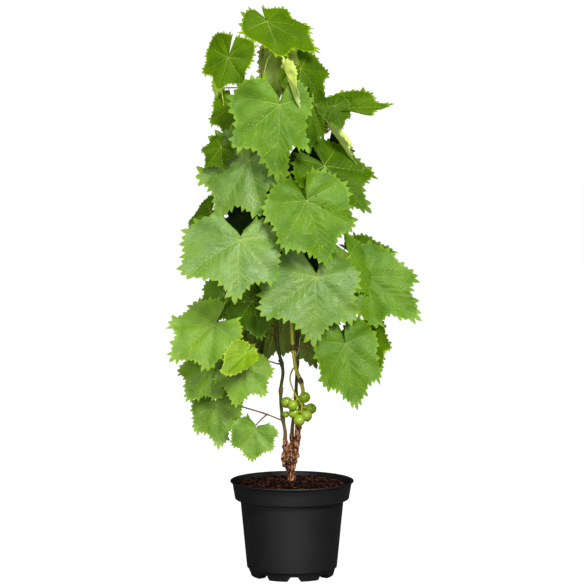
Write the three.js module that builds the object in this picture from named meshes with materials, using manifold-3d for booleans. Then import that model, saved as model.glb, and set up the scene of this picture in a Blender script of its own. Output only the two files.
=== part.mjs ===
// A young grapevine in its nursery pot. Sizes are in millimetres, +Z is up and the viewer stands on -Y.
// The origin is the middle of the pot's underside.
import * as THREE from "three";
import { mergeVertices } from "three/addons/utils/BufferGeometryUtils.js";
import Module from "manifold-3d";

const wasm = await Module();
wasm.setup();

const CLEARANCE = 0.3; // between solids that touch on the real plant
const WELD = 1e-3; // points closer than this are one point
const FULL_TURN = 2 * Math.PI;
const UP = new THREE.Vector3(0, 0, 1);

const FINISHES = {
  plastic: { color: 0x1b1c1e, roughness: 0.5, metalness: 0 },
  soil: { color: 0x2b1d15, roughness: 0.95, metalness: 0 },
  bark: { color: 0x5c3a25, roughness: 0.9, metalness: 0 },
  cane: { color: 0x7c8a35, roughness: 0.6, metalness: 0 },
  leaf: { color: 0x5d9135, roughness: 0.6, metalness: 0 },
  fruit: { color: 0x7fae3c, roughness: 0.35, metalness: 0 },
};

// ---------------------------------------------------------------------------------------------
// Small helpers
// ---------------------------------------------------------------------------------------------

const radians = (degrees) => (degrees * Math.PI) / 180;
const vector = ([x, y, z]) => new THREE.Vector3(x, y, z);
const mix = (a, b, share) => a + (b - a) * share;

/** The value at `at` on the broken line through [key, value] pairs. */
function along(pairs, at) {
  if (at <= pairs[0][0]) return pairs[0][1];
  for (let i = 1; i < pairs.length; i += 1) {
    const [k0, v0] = pairs[i - 1];
    const [k1, v1] = pairs[i];
    if (at <= k1) return mix(v0, v1, (at - k0) / (k1 - k0));
  }
  return pairs[pairs.length - 1][1];
}

/** Seeded dice, so that the plant grows the same way each time. */
class Dice {
  constructor(seed) {
    this.state = seed;
  }

  roll() {
    this.state = (this.state * 48271) % 2147483647;
    return this.state / 2147483647;
  }

  spread(low, high) {
    return low + (high - low) * this.roll();
  }
}

/** A geometry from points and the triangles between them. */
function geometryOf(points, faces) {
  const geometry = new THREE.BufferGeometry();
  const places = new Float32Array(points.flatMap((p) => [p.x, p.y, p.z]));
  geometry.setAttribute("position", new THREE.BufferAttribute(places, 3));
  geometry.setIndex(faces.flat());
  return geometry;
}

/** A manifold solid from a closed geometry, with its faces turned outward. */
function solidOf(geometry) {
  const vertProperties = new Float32Array(geometry.getAttribute("position").array);
  const corners = Array.from(geometry.index.array);
  const make = (list) =>
    new wasm.Manifold(
      new wasm.Mesh({ numProp: 3, vertProperties, triVerts: new Uint32Array(list) }),
    );
  const made = make(corners);
  if (made.volume() >= 0) return made;
  const turned = [];
  for (let i = 0; i < corners.length; i += 3) {
    turned.push(corners[i], corners[i + 2], corners[i + 1]);
  }
  return make(turned);
}

const fuse = (solids) => solids.reduce((whole, piece) => whole.add(piece));

/** The largest body of a solid, in case a union left a loose scrap. */
function mainBody(whole) {
  const bodies = whole.decompose();
  return bodies.reduce((best, body) => (body.volume() > best.volume() ? body : best));
}

/** A named mesh for one node. */
function nodeOf(name, whole, finish) {
  const mesh = mainBody(whole).getMesh();
  const geometry = new THREE.BufferGeometry();
  const places = new Float32Array(mesh.numVert * 3);
  for (let i = 0; i < mesh.numVert; i += 1) {
    const start = i * mesh.numProp;
    places.set(mesh.vertProperties.subarray(start, start + 3), i * 3);
  }
  geometry.setAttribute("position", new THREE.BufferAttribute(places, 3));
  geometry.setIndex(new THREE.BufferAttribute(new Uint32Array(mesh.triVerts), 1));
  geometry.computeVertexNormals();
  const made = new THREE.Mesh(geometry, new THREE.MeshStandardMaterial(FINISHES[finish]));
  made.name = name;
  return made;
}

/** Triangles between two closed rings of the same number of points. */
function band(lower, upper, count) {
  const faces = [];
  for (let i = 0; i < count; i += 1) {
    const next = (i + 1) % count;
    faces.push([lower + i, lower + next, upper + next]);
    faces.push([lower + i, upper + next, upper + i]);
  }
  return faces;
}

/** A solid turned round +Z from a profile of [radius, height] pairs that starts and ends on the axis. */
function turned(profile, segments) {
  const points = [];
  const starts = [];
  for (const [radius, height] of profile) {
    starts.push(points.length);
    if (radius === 0) {
      points.push(new THREE.Vector3(0, 0, height));
      continue;
    }
    for (let i = 0; i < segments; i += 1) {
      const angle = (FULL_TURN * i) / segments;
      points.push(new THREE.Vector3(radius * Math.cos(angle), radius * Math.sin(angle), height));
    }
  }
  const faces = [];
  for (let k = 1; k < profile.length; k += 1) {
    const below = starts[k - 1];
    const above = starts[k];
    if (profile[k - 1][0] === 0) {
      for (let i = 0; i < segments; i += 1) faces.push([below, above + ((i + 1) % segments), above + i]);
    } else if (profile[k][0] === 0) {
      for (let i = 0; i < segments; i += 1) faces.push([below + i, below + ((i + 1) % segments), above]);
    } else {
      faces.push(...band(below, above, segments));
    }
  }
  return solidOf(geometryOf(points, faces));
}

/**
 * A tapering limb along a path, with flat ends. `radiusAt` takes the share of the way and the bearing,
 * and `level` says which ends are cut level.
 */
function limb(path, radiusAt, sides, level = {}) {
  const points = [];
  const last = path.length - 1;
  let across = new THREE.Vector3(1, 0, 0);
  path.forEach((place, k) => {
    const isLevel = (k === 0 && level.foot) || (k === last && level.tip);
    const way = isLevel
      ? UP.clone()
      : path[Math.min(k + 1, last)].clone().sub(path[Math.max(k - 1, 0)]).normalize();
    if (k === 0 && Math.abs(way.x) > 0.9) across = new THREE.Vector3(0, 1, 0);
    across = across.clone().addScaledVector(way, -across.dot(way)).normalize();
    const beside = way.clone().cross(across);
    for (let i = 0; i < sides; i += 1) {
      const angle = (FULL_TURN * i) / sides;
      const radius = radiusAt(k / last, angle);
      points.push(
        place
          .clone()
          .addScaledVector(across, radius * Math.cos(angle))
          .addScaledVector(beside, radius * Math.sin(angle)),
      );
    }
  });
  const faces = [];
  for (let k = 0; k < last; k += 1) faces.push(...band(k * sides, (k + 1) * sides, sides));
  const foot = points.push(path[0].clone()) - 1;
  const tip = points.push(path[last].clone()) - 1;
  for (let i = 0; i < sides; i += 1) {
    const next = (i + 1) % sides;
    faces.push([foot, next, i]);
    faces.push([tip, last * sides + i, last * sides + next]);
  }
  return solidOf(geometryOf(points, faces));
}

/** Evenly spaced points on the smooth curve through `stops`. */
function smooth(stops, step) {
  const curve = new THREE.CatmullRomCurve3(stops.map(vector), false, "centripetal");
  const count = Math.max(2, Math.round(curve.getLength() / step));
  return curve.getSpacedPoints(count);
}

/** Points every few millimetres along a broken line, for the tests of what keeps clear. */
function lineOf(path) {
  const step = 5;
  const points = [];
  for (let k = 1; k < path.length; k += 1) {
    const count = Math.max(1, Math.round(path[k].distanceTo(path[k - 1]) / step));
    for (let i = 0; i < count; i += 1) points.push(path[k - 1].clone().lerp(path[k], i / count));
  }
  points.push(path[path.length - 1].clone());
  return points;
}

// ---------------------------------------------------------------------------------------------
// Pot and soil
// ---------------------------------------------------------------------------------------------

const POT = {
  height: 147,
  rimRadius: 95,
  segments: 36,
  wall: 1.6,
  collarFoot: 118.5, // where the collar steps out from the body
  bodyTop: 79.5,
  bodyFoot: 69.4,
  skirtTop: 12.4, // the small step inward over the foot
  footRadius: 64.7,
  floor: 2.2,
  collarInsetTop: 3, // the collar's wall lies this far inside the rim at its top
  collarInsetLow: 7, // and this far at its foot
  notches: 8,
  notchHeight: 7,
  notchTop: 12.5,
  notchFoot: 25,
  notchDepth: 16,
  notchOutset: 6, // how far the cutting block starts outside the foot
  firstNotch: -87,
};

const SOIL = {
  edge: 136,
  middle: 142,
  seat: 11, // radius of the flat round the trunk
  bottom: 13.9,
};

/** Outside of the pot, then its inside, as one closed profile. */
function potProfile() {
  const { height, rimRadius, wall, collarFoot, bodyTop, bodyFoot, skirtTop, footRadius, floor } = POT;
  const collarTop = rimRadius - POT.collarInsetTop;
  const collarLow = rimRadius - POT.collarInsetLow;
  return [
    [0, 0],
    [footRadius - 4, 0],
    [footRadius - 1.2, 1.2],
    [footRadius, 4],
    [bodyFoot - 2.2, skirtTop - 0.6],
    [bodyFoot, skirtTop + 0.6],
    [bodyTop, collarFoot - 0.9],
    [collarLow - 1.6, collarFoot - 0.4],
    [collarLow, collarFoot + 1.4],
    [collarTop, height - 2.6],
    [rimRadius - 0.6, height - 2.3],
    [rimRadius, height - 1.3],
    [rimRadius - 0.6, height - 0.2],
    [rimRadius - 1.6, height],
    [collarTop - wall, height],
    [collarLow - wall, collarFoot + 1.3],
    [bodyTop - wall, collarFoot + 1],
    [bodyFoot - wall - 0.3, skirtTop + 1],
    [footRadius - wall - 0.6, floor],
    [0, floor],
  ];
}

/** One drain notch: a block whose sides lean, lying across the edge of the base. */
function notchBlock(bearing) {
  const { footRadius, notchHeight, notchTop, notchFoot, notchDepth, notchOutset } = POT;
  const under = -1; // starts below the base, so that the cut is open there
  const shape = new THREE.Shape();
  shape.moveTo(-notchFoot / 2, under);
  shape.lineTo(notchFoot / 2, under);
  shape.lineTo(notchTop / 2, notchHeight);
  shape.lineTo(-notchTop / 2, notchHeight);
  shape.closePath();
  const block = new THREE.ExtrudeGeometry(shape, { depth: notchDepth, bevelEnabled: false, steps: 1 });
  block.rotateX(Math.PI / 2);
  block.translate(0, footRadius + notchOutset, 0);
  block.rotateZ(radians(bearing - 90));
  block.deleteAttribute("normal");
  block.deleteAttribute("uv");
  return solidOf(mergeVertices(block, WELD));
}

function makePot() {
  let pot = turned(potProfile(), POT.segments);
  for (let i = 0; i < POT.notches; i += 1) {
    pot = pot.subtract(notchBlock(POT.firstNotch + (360 / POT.notches) * i));
  }
  return pot;
}

function makeSoil() {
  const { height, rimRadius, wall, collarFoot, bodyTop, bodyFoot, skirtTop } = POT;
  const inside = (radius) => radius - wall - CLEARANCE;
  const collarLow = inside(rimRadius - POT.collarInsetLow);
  const collarSlope = (POT.collarInsetLow - POT.collarInsetTop) / (height - collarFoot);
  const edgeRadius = collarLow + (SOIL.edge - collarFoot) * collarSlope - 2 * CLEARANCE;
  return turned(
    [
      [0, SOIL.bottom],
      [inside(bodyFoot) - 0.2, SOIL.bottom],
      [inside(bodyTop) - 0.2, collarFoot + 1.3 + CLEARANCE],
      [collarLow - 0.4, collarFoot + 1.9 + CLEARANCE],
      [edgeRadius, SOIL.edge],
      [edgeRadius * 0.8, mix(SOIL.edge, SOIL.middle, 0.45)],
      [edgeRadius * 0.45, mix(SOIL.edge, SOIL.middle, 0.85)],
      [SOIL.seat, SOIL.middle],
      [0, SOIL.middle],
    ],
    POT.segments,
  );
}

// ---------------------------------------------------------------------------------------------
// Old wood and canes
// ---------------------------------------------------------------------------------------------

const TRUNK = {
  sides: 10,
  lump: 0.09, // how far the bark's lumps stand out, as a share of the radius
  stem: {
    stops: [
      [0, 0, SOIL.middle + CLEARANCE],
      [0, 0, 150],
      [-1, 0, 160],
      [-3, 0, 170],
      [-4, 0, 182],
      [-4, 1, 193],
      [-4, 1, 200],
    ],
    radii: [
      [0, 8.4],
      [0.12, 6.2],
      [0.32, 6.4],
      [0.5, 9.6],
      [0.65, 13.4],
      [0.8, 12.6],
      [0.93, 8.5],
      [1, 5],
    ],
  },
  // spur on the left, arm on the right and stub at the back, each cut flat where a cane grows from it
  spur: {
    stops: [[-7, 0, 186], [-10.5, 0, 200], [-10.5, 0, 209.3]],
    radii: [[0, 5.5], [1, 3.6]],
  },
  arm: {
    stops: [[0, 0, 182], [6, -1, 198], [9, -1, 218], [9.5, -1, 235]],
    radii: [[0, 7], [0.4, 5.4], [1, 4.8]],
  },
  stub: {
    stops: [[-3, 3, 184], [0, 12, 200], [0, 14, 208], [0, 14, 215]],
    radii: [[0, 6], [1, 3.8]],
  },
};

/** A limb of old wood with shallow lumps. */
function woodLimb({ stops, radii }, step, phase, level) {
  const path = smooth(stops, step);
  const radiusAt = (share, angle) => {
    const ripple = Math.sin(3 * angle + 9 * share + phase) + 0.6 * Math.sin(5 * angle - 14 * share);
    const calm = share === 0 || share === 1 ? 0 : 1;
    return along(radii, share) * (1 + TRUNK.lump * ripple * calm);
  };
  return limb(path, radiusAt, TRUNK.sides, level);
}

function makeTrunk() {
  return fuse([
    woodLimb(TRUNK.stem, 7, 0, { foot: true }),
    woodLimb(TRUNK.spur, 7, 1, { tip: true }),
    woodLimb(TRUNK.arm, 9, 2, { tip: true }),
    woodLimb(TRUNK.stub, 8, 3, { tip: true }),
  ]);
}

const CANES = {
  left: {
    stops: [
      [-10.5, 0, 209.3 + CLEARANCE],
      [-10.7, 0, 222],
      [-15, -2, 246],
      [-17, -3, 266],
      [-17, -3, 290],
      [-14, -3, 315],
      [-21, -4, 350],
      [-25, -6, 400],
      [-28, -7, 470],
      [-32, -9, 550],
      [-35, -10, 640],
      [-43, -13, 720],
      [-45, -15, 770],
      [-44, -18, 808],
    ],
    radii: [[0, 2.8], [0.03, 2.3], [0.6, 2], [1, 1.3]],
  },
  right: {
    stops: [
      [9.5, -1, 235 + CLEARANCE],
      [9.7, -1.3, 242],
      [12, -4, 259],
      [17, -6, 281],
      [13.5, -8, 300],
      [6, -9, 320],
      [1.5, -10, 354],
      [-1, -11, 400],
      [1, -12, 470],
      [-1, -13, 550],
      [-5, -14, 630],
      [-11, -16, 700],
      [-14, -18, 778],
    ],
    radii: [[0, 3.4], [0.03, 2.3], [0.6, 1.9], [1, 1.3]],
  },
  back: {
    stops: [
      [0, 14, 215 + CLEARANCE],
      [0.3, 14.2, 225],
      [5, 20, 265],
      [8, 25, 330],
      [10, 27, 420],
      [17, 26, 500],
      [32, 20, 580],
      [46, 10, 650],
      [46, 2, 710],
      [42, -3, 748],
    ],
    radii: [[0, 2.9], [0.03, 2.4], [0.6, 2], [1, 1.3]],
  },
};
const CANE_STEP = 26;
const CANE_SIDES = 7;

function growCane(cane) {
  cane.path = smooth(cane.stops, CANE_STEP);
  cane.radiusAt = (share) => along(cane.radii, share);
  cane.solid = limb(cane.path, cane.radiusAt, CANE_SIDES, { foot: true });
  cane.fine = lineOf(cane.path);
}

/** Where a cane passes a height: its middle, its direction and its radius there. */
function caneAt(cane, height) {
  const last = cane.path.length - 1;
  for (let k = 0; k < last; k += 1) {
    const from = cane.path[k];
    const to = cane.path[k + 1];
    if (to.z >= height || k === last - 1) {
      const share = (height - from.z) / (to.z - from.z);
      return {
        middle: from.clone().lerp(to, share),
        way: to.clone().sub(from).normalize(),
        radius: cane.radiusAt((k + share) / last),
      };
    }
  }
  throw new Error("the cane has no path");
}

// ---------------------------------------------------------------------------------------------
// The leaf rule
// ---------------------------------------------------------------------------------------------

const LEAF = {
  // half outline: degrees from the midrib, reach as a share of the midrib
  outline: [
    [0, 1],
    [16, 0.76],
    [27, 0.7],
    [48, 0.88],
    [68, 0.66],
    [90, 0.72],
  ],
  lobe: [0.58, 0.44], // the basal lobe, spread evenly down to the sinus
  sinusFloor: 0.15,
  behind: 0.05, // how far the blade reaches behind its junction
  trueWidth: 1.4, // width over midrib that the outline gives by itself
  thickness: 0.0172, // share of the midrib
  leastThickness: 1.2,
  gather: 0.05, // how softly the fold starts at the midrib
  sinusLip: 0.55, // where the sinus turns in, as a share of its half angle
  ring: 0.52, // the blade's inner ring of points, as a share of the rim's reach
  sampleRing: 0.6, // and the ring of points that its tests look at
  petioleFoot: 1.5,
  petioleTip: 1.15,
  petioleSides: 3,
  petioleSteps: 3,
  petioleTests: 16,
  petioleEnd: 3, // the tests leave out the last few points, which lie in the blade
  petioleBack: 0.3, // how far the petiole bends behind the blade, as a share of its reach
  petioleRise: 0.1, // and how far upward
};

const BLADE_DEFAULTS = { fold: 6, droop: 0.08, sinus: 25, curl: 0.05, lobe: 1, lop: 1 };

/** One leaf blade: a place for its junction, a size, and three turns. */
class Blade {
  constructor(row) {
    Object.assign(this, BLADE_DEFAULTS, row);
    this.lowSlim = (2 * this.width) / ((1 + this.lop) * LEAF.trueWidth * this.length);
    this.highSlim = this.lop * this.lowSlim;
    const f = radians(this.faces);
    const t = radians(this.tilt);
    const s = radians(this.swing);
    this.out = new THREE.Vector3(Math.sin(t) * Math.cos(f), Math.sin(t) * Math.sin(f), Math.cos(t));
    const down = new THREE.Vector3(Math.cos(t) * Math.cos(f), Math.cos(t) * Math.sin(f), -Math.sin(t));
    const side = this.out.clone().cross(down);
    this.mid = down.multiplyScalar(Math.cos(s)).addScaledVector(side, Math.sin(s));
    this.left = this.out.clone().cross(this.mid);
    this.place = vector(this.at);
    this.rim = this.makeRim();
    this.samples = this.makeSamples();
  }

  /** Outline as [angle, reach] from the sinus round one side to the tip and back up the other. */
  makeRim() {
    const half = LEAF.outline.map(([degrees, reach]) => [radians(degrees), reach]);
    const first = LEAF.outline[LEAF.outline.length - 1][0];
    const last = 180 - this.sinus;
    LEAF.lobe.forEach((reach, i) => {
      half.push([radians(mix(first, last, (i + 1) / LEAF.lobe.length)), reach * this.lobe]);
    });
    half.push([radians(180 - this.sinus * LEAF.sinusLip), LEAF.sinusFloor]);
    const other = half.slice(1).reverse().map(([angle, reach]) => [-angle, reach]);
    return [[-Math.PI, LEAF.behind], ...other, ...half];
  }

  reachAt(angle) {
    for (let i = 1; i < this.rim.length; i += 1) {
      const [a0, r0] = this.rim[i - 1];
      const [a1, r1] = this.rim[i];
      if (angle <= a1) return mix(r0, r1, (angle - a0) / (a1 - a0));
    }
    return LEAF.behind;
  }

  /** Height of the blade's middle over its plane. */
  height(x, y) {
    const slope = Math.tan(radians(this.fold));
    const soft = LEAF.gather * this.length;
    const folded = slope * (soft - Math.sqrt(y * y + soft * soft));
    return folded - (this.droop * x * Math.abs(x)) / this.length - (this.curl * y * y) / this.length;
  }

  point(x, y, lift = 0) {
    return this.place
      .clone()
      .addScaledVector(this.mid, x)
      .addScaledVector(this.left, y)
      .addScaledVector(this.out, this.height(x, y) + lift);
  }

  /** How much the half on one side of the midrib is stretched; `lop` under 1 narrows the +y half. */
  slimAt(y) {
    return y > 0 ? this.highSlim : this.lowSlim;
  }

  flat(angle, reach) {
    const y = reach * this.length * Math.sin(angle);
    return [reach * this.length * Math.cos(angle), y * this.slimAt(y)];
  }

  makeSamples() {
    const points = [this.point(0, 0)];
    this.rim.forEach(([angle, reach], i) => {
      points.push(this.point(...this.flat(angle, reach)));
      if (i % 2 === 0) points.push(this.point(...this.flat(angle, reach * LEAF.sampleRing)));
    });
    return points;
  }

  /** A closed slab: a fan round the junction, a ring of half the points, and the rim. */
  solid() {
    const lift = Math.max(LEAF.leastThickness, LEAF.thickness * this.length) / 2;
    const count = this.rim.length;
    const inner = count / 2;
    const points = [];
    for (const side of [lift, -lift]) {
      points.push(this.point(0, 0, side));
      for (let i = 0; i < inner; i += 1) {
        const [angle, reach] = this.rim[2 * i];
        points.push(this.point(...this.flat(angle, reach * LEAF.ring), side));
      }
      for (const [angle, reach] of this.rim) points.push(this.point(...this.flat(angle, reach), side));
    }
    const half = 1 + inner + count;
    const faces = [];
    for (const [start, flip] of [[0, false], [half, true]]) {
      const push = (a, b, c) => {
        faces.push(flip ? [start + a, start + c, start + b] : [start + a, start + b, start + c]);
      };
      for (let i = 0; i < inner; i += 1) {
        const next = (i + 1) % inner;
        const rim = 1 + inner;
        const here = 2 * i;
        push(0, 1 + i, 1 + next);
        push(1 + i, rim + here, rim + here + 1);
        push(1 + i, rim + here + 1, 1 + next);
        push(1 + next, rim + here + 1, rim + ((here + 2) % count));
      }
    }
    for (let i = 0; i < count; i += 1) {
      const next = (i + 1) % count;
      const top = 1 + inner;
      const low = half + top;
      faces.push([top + i, low + i, low + next]);
      faces.push([top + i, low + next, top + next]);
    }
    return solidOf(geometryOf(points, faces));
  }

  /** The petiole's path from the spray's fork to the back of the blade's junction. */
  petiole(fork) {
    const reach = fork.distanceTo(this.place);
    const bend = this.place.clone().addScaledVector(this.out, -LEAF.petioleBack * reach);
    bend.z += LEAF.petioleRise * reach;
    return new THREE.QuadraticBezierCurve3(fork, bend, this.place);
  }
}

const petioleRadius = (share) => mix(LEAF.petioleFoot, LEAF.petioleTip, share);

// ---------------------------------------------------------------------------------------------
// Keeping leaves clear of one another
// ---------------------------------------------------------------------------------------------

const KEEP = {
  blade: 3, // least distance between blades, across them
  limb: 4.5, // between a blade and a cane or petiole
  margin: 1.06, // the outline is taken this much larger in the test
  rim: 0.02, // and its rim this much further out, as a share of the midrib
};

/** True where the points that lie over a blade all lie on the same side of it, `gap` or more away. */
function onOneSide(points, blade, gap) {
  let low = Infinity;
  let high = -Infinity;
  for (const p of points) {
    const dx = p.x - blade.place.x;
    const dy = p.y - blade.place.y;
    const dz = p.z - blade.place.z;
    const x = dx * blade.mid.x + dy * blade.mid.y + dz * blade.mid.z;
    const y = dx * blade.left.x + dy * blade.left.y + dz * blade.left.z;
    const flatY = y / blade.slimAt(y);
    const reach = Math.sqrt(x * x + flatY * flatY) / blade.length;
    if (reach > KEEP.margin || reach > blade.reachAt(Math.atan2(flatY, x)) * KEEP.margin + KEEP.rim) continue;
    const z = dx * blade.out.x + dy * blade.out.y + dz * blade.out.z - blade.height(x, y);
    low = Math.min(low, z);
    high = Math.max(high, z);
  }
  return low === Infinity || low > gap || high < -gap;
}

/** True where no point of one line is nearer than `gap` to a point of the other. */
const apart = (one, other, gap) => one.every((p) => other.every((q) => p.distanceTo(q) > gap));

/** Whether a new leaf keeps clear of the placed leaves and of every limb but its own stem. */
function clear(leaf, placed, limbs) {
  for (const other of placed) {
    const near = leaf.blade.place.distanceTo(other.blade.place) < leaf.blade.length + other.blade.length;
    if (!near) continue;
    if (!onOneSide(leaf.blade.samples, other.blade, KEEP.blade)) return false;
    if (!onOneSide(other.blade.samples, leaf.blade, KEEP.blade)) return false;
    if (!onOneSide(leaf.line, other.blade, KEEP.limb)) return false;
    if (!onOneSide(other.line, leaf.blade, KEEP.limb)) return false;
    if (other.spray !== leaf.spray && !apart(leaf.line, other.line, KEEP.limb)) return false;
  }
  return limbs.every(
    (one) =>
      one.name === leaf.spray ||
      (onOneSide(one.fine, leaf.blade, KEEP.limb) && apart(leaf.line, one.fine, KEEP.limb)),
  );
}

// ---------------------------------------------------------------------------------------------
// Sprays: each hangs from one cane and holds a few leaves
// ---------------------------------------------------------------------------------------------

/** One hand-placed blade. */
const blade = (x, y, z, length, width, faces, tilt, swing, more = {}) => ({
  at: [x, y, z],
  length,
  width,
  faces,
  tilt,
  swing,
  ...more,
});

const INNER = [0.3, 0.62]; // reach of the leaves that hang close to the canes, as a share of the crown's

// name, cane, height where the spray leaves the cane, its fork, its hand-placed blades,
// and how many more the dice may add round a bearing
const SPRAYS = [
  {
    name: "leaves_crest",
    cane: "left",
    fork: [-40, -25, 812],
    blades: [blade(-42, -18, 839, 96, 74, -80, 62, 56, { fold: 12, sinus: 6, droop: 0.02 })],
  },
  {
    name: "leaves_peak",
    cane: "right",
    fork: [-6, -30, 770],
    blades: [
      blade(-8, -54, 773, 54, 46, 26, 74, -8, { fold: -20, droop: 0 }),
      blade(13, -18, 778, 60, 80, -60, 75, 35, { fold: 10 }),
    ],
  },
  {
    name: "leaves_upper_left",
    cane: "left",
    fork: [-66, -20, 748],
    blades: [
      blade(-92, -42, 794, 54, 84, -100, 78, -15, { fold: 10, sinus: 5, lobe: 1.5 }),
      blade(-103, -14, 748, 60, 52, -170, 92, -10, { fold: -25 }),
      blade(-90, -32, 722, 54, 62, -100, 80, -10),
    ],
  },
  {
    name: "leaves_upper_front",
    cane: "right",
    fork: [-14, -34, 706],
    blades: [blade(-18, -95, 724, 114, 126, -88, 80, -2, { fold: 7, sinus: 30, lop: 0.62 })],
  },
  {
    name: "leaves_upper_right",
    cane: "back",
    fork: [44, -18, 708],
    blades: [
      blade(68, -32, 717, 84, 56, -90, 45, 88, { fold: -38, droop: 0.02 }),
      blade(64, -54, 722, 38, 44, -85, 78, 14, { fold: 10 }),
      blade(30, -58, 722, 72, 46, -98, 82, -4, { fold: 8 }),
      blade(46, -48, 702, 86, 50, -36, 60, 24, { fold: -40, droop: 0 }),
    ],
  },
  {
    name: "leaves_middle_left",
    cane: "left",
    fork: [-52, -28, 646],
    blades: [
      blade(-64, -64, 641, 110, 136, -108, 75, -28, { fold: 2 }),
      blade(-106, -58, 660, 46, 60, -122, 68, -34),
    ],
  },
  {
    name: "leaves_middle_right",
    cane: "back",
    fork: [54, -14, 626],
    blades: [
      blade(48, -60, 632, 92, 124, -74, 58, 60, { fold: 5, sinus: 20, droop: 0.05 }),
      blade(54, -26, 654, 66, 78, -80, 72, 8),
    ],
  },
  {
    name: "leaves_middle_front",
    cane: "right",
    fork: [6, -36, 566],
    blades: [blade(22, -100, 582, 106, 136, -88, 80, 17, { fold: 4, sinus: 12 })],
  },
  {
    name: "leaves_waist_left",
    cane: "left",
    fork: [-56, -28, 518],
    blades: [
      blade(-78, -104, 522, 104, 160, -88, 66, -5, { fold: 6, sinus: 34, lop: 0.7 }),
      blade(-123, -20, 560, 62, 76, -130, 60, -30),
    ],
  },
  {
    name: "leaves_waist_front",
    cane: "right",
    fork: [10, -36, 460],
    blades: [blade(32, -88, 471, 112, 164, -90, 76, -2, { fold: 5, sinus: 28, lop: 0.8 })],
  },
  {
    name: "leaves_waist_right",
    cane: "back",
    fork: [62, -8, 478],
    blades: [
      blade(86, -62, 496, 76, 70, -60, 74, 30, { fold: 12 }),
      blade(112, -50, 465, 112, 116, -85, 74, 50, { fold: 4, droop: 0.05 }),
      blade(100, -25, 503, 88, 90, -72, 62, 68, { droop: 0.05 }),
    ],
  },
  {
    name: "leaves_low_left",
    cane: "left",
    fork: [-60, -24, 396],
    blades: [
      blade(-117, -70, 388, 92, 118, -105, 58, -46, { droop: 0.06 }),
      blade(-103, -40, 438, 58, 74, -110, 72, -20),
      blade(-60, -56, 428, 60, 84, -95, 72, 15),
    ],
  },
  {
    name: "leaves_low_front",
    cane: "left",
    fork: [-46, -34, 338],
    blades: [
      blade(-66, -95, 357, 56, 66, -90, 55, -50, { fold: -20, droop: 0.05 }),
      blade(-71, -76, 331, 62, 88, -92, 74, -12),
      blade(-114, -50, 329, 72, 90, -105, 68, -35),
    ],
  },
  {
    name: "leaves_foot_left",
    cane: "left",
    fork: [-38, -26, 252],
    blades: [
      blade(-115, -42, 270, 72, 86, -100, 80, 5, { droop: 0.05 }),
      blade(-60, -80, 236, 49, 70, -92, 76, -4, { fold: 4, sinus: 38, droop: 0.05 }),
    ],
  },
  {
    name: "leaves_low_right",
    cane: "right",
    fork: [36, -24, 362],
    blades: [
      blade(80, -85, 366, 102, 98, -88, 80, 10, { fold: 5, sinus: 12, droop: 0.05 }),
      blade(109, -45, 383, 74, 80, -65, 76, 18, { fold: 12 }),
    ],
  },
  {
    name: "leaves_inner_upper",
    cane: "left",
    fork: [-40, -30, 586],
    blades: [blade(-46, -50, 580, 66, 88, -95, 76, 0)],
    bearing: -90,
    extra: 2,
    share: INNER,
  },
  {
    name: "leaves_inner_middle",
    cane: "right",
    fork: [2, -34, 508],
    blades: [blade(-14, -52, 506, 60, 80, -88, 76, 5)],
    bearing: -80,
    extra: 2,
    share: INNER,
  },
  { name: "leaves_right_top", cane: "back", fork: [64, 4, 690], bearing: 10, extra: 4 },
  { name: "leaves_right_upper", cane: "back", fork: [60, 6, 606], bearing: 0, extra: 4 },
  { name: "leaves_right_middle", cane: "back", fork: [48, 10, 530], bearing: 10, extra: 4 },
  { name: "leaves_right_low", cane: "back", fork: [40, 24, 380], bearing: 10, extra: 4 },
  { name: "leaves_left_top", cane: "left", fork: [-64, -2, 690], bearing: 170, extra: 4 },
  { name: "leaves_left_middle", cane: "left", fork: [-54, 4, 590], bearing: 175, extra: 4 },
  { name: "leaves_left_waist", cane: "left", fork: [-50, 4, 484], bearing: 175, extra: 4 },
  { name: "leaves_left_low", cane: "left", fork: [-44, 10, 380], bearing: 165, extra: 4 },
  { name: "leaves_back_top", cane: "right", fork: [-4, 4, 754], bearing: 60, extra: 4 },
  { name: "leaves_back_waist", cane: "back", fork: [16, 50, 470], bearing: 90, extra: 4 },
];

const FILL = {
  seed: 4711,
  tries: 400,
  axis: [-4, 4], // the middle of the crown, seen from above
  fan: 75, // degrees to each side of the spray's bearing
  below: 40,
  above: 60,
  // height over the ground and reach of the leaf junctions from the crown's axis
  reach: [
    [250, 55],
    [330, 80],
    [420, 92],
    [520, 88],
    [620, 76],
    [700, 62],
    [760, 44],
    [830, 22],
  ],
  share: [0.45, 1], // share of that reach where the junctions lie
  midrib: [64, 104],
  stout: [1.2, 1.38], // width over midrib
  faces: [-22, 22], // degrees to each side of the bearing
  tilt: [60, 80],
  swing: [-28, 28],
  fold: [0, 12],
  sinus: [10, 32],
};

/** A leaf that the dice propose for a spray. */
function proposeBlade(spray, dice) {
  const bearing = spray.bearing + dice.spread(-FILL.fan, FILL.fan);
  const height = spray.fork[2] + dice.spread(-FILL.below, FILL.above);
  const reach = along(FILL.reach, height) * dice.spread(...(spray.share ?? FILL.share));
  const length = dice.spread(...FILL.midrib);
  const width = length * dice.spread(...FILL.stout);
  const x = FILL.axis[0] + reach * Math.cos(radians(bearing));
  const y = FILL.axis[1] + reach * Math.sin(radians(bearing));
  const faces = bearing + dice.spread(...FILL.faces);
  const tilt = dice.spread(...FILL.tilt);
  const swing = dice.spread(...FILL.swing);
  const more = { fold: dice.spread(...FILL.fold), sinus: dice.spread(...FILL.sinus) };
  return new Blade(blade(x, y, height, length, width, faces, tilt, swing, more));
}

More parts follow.
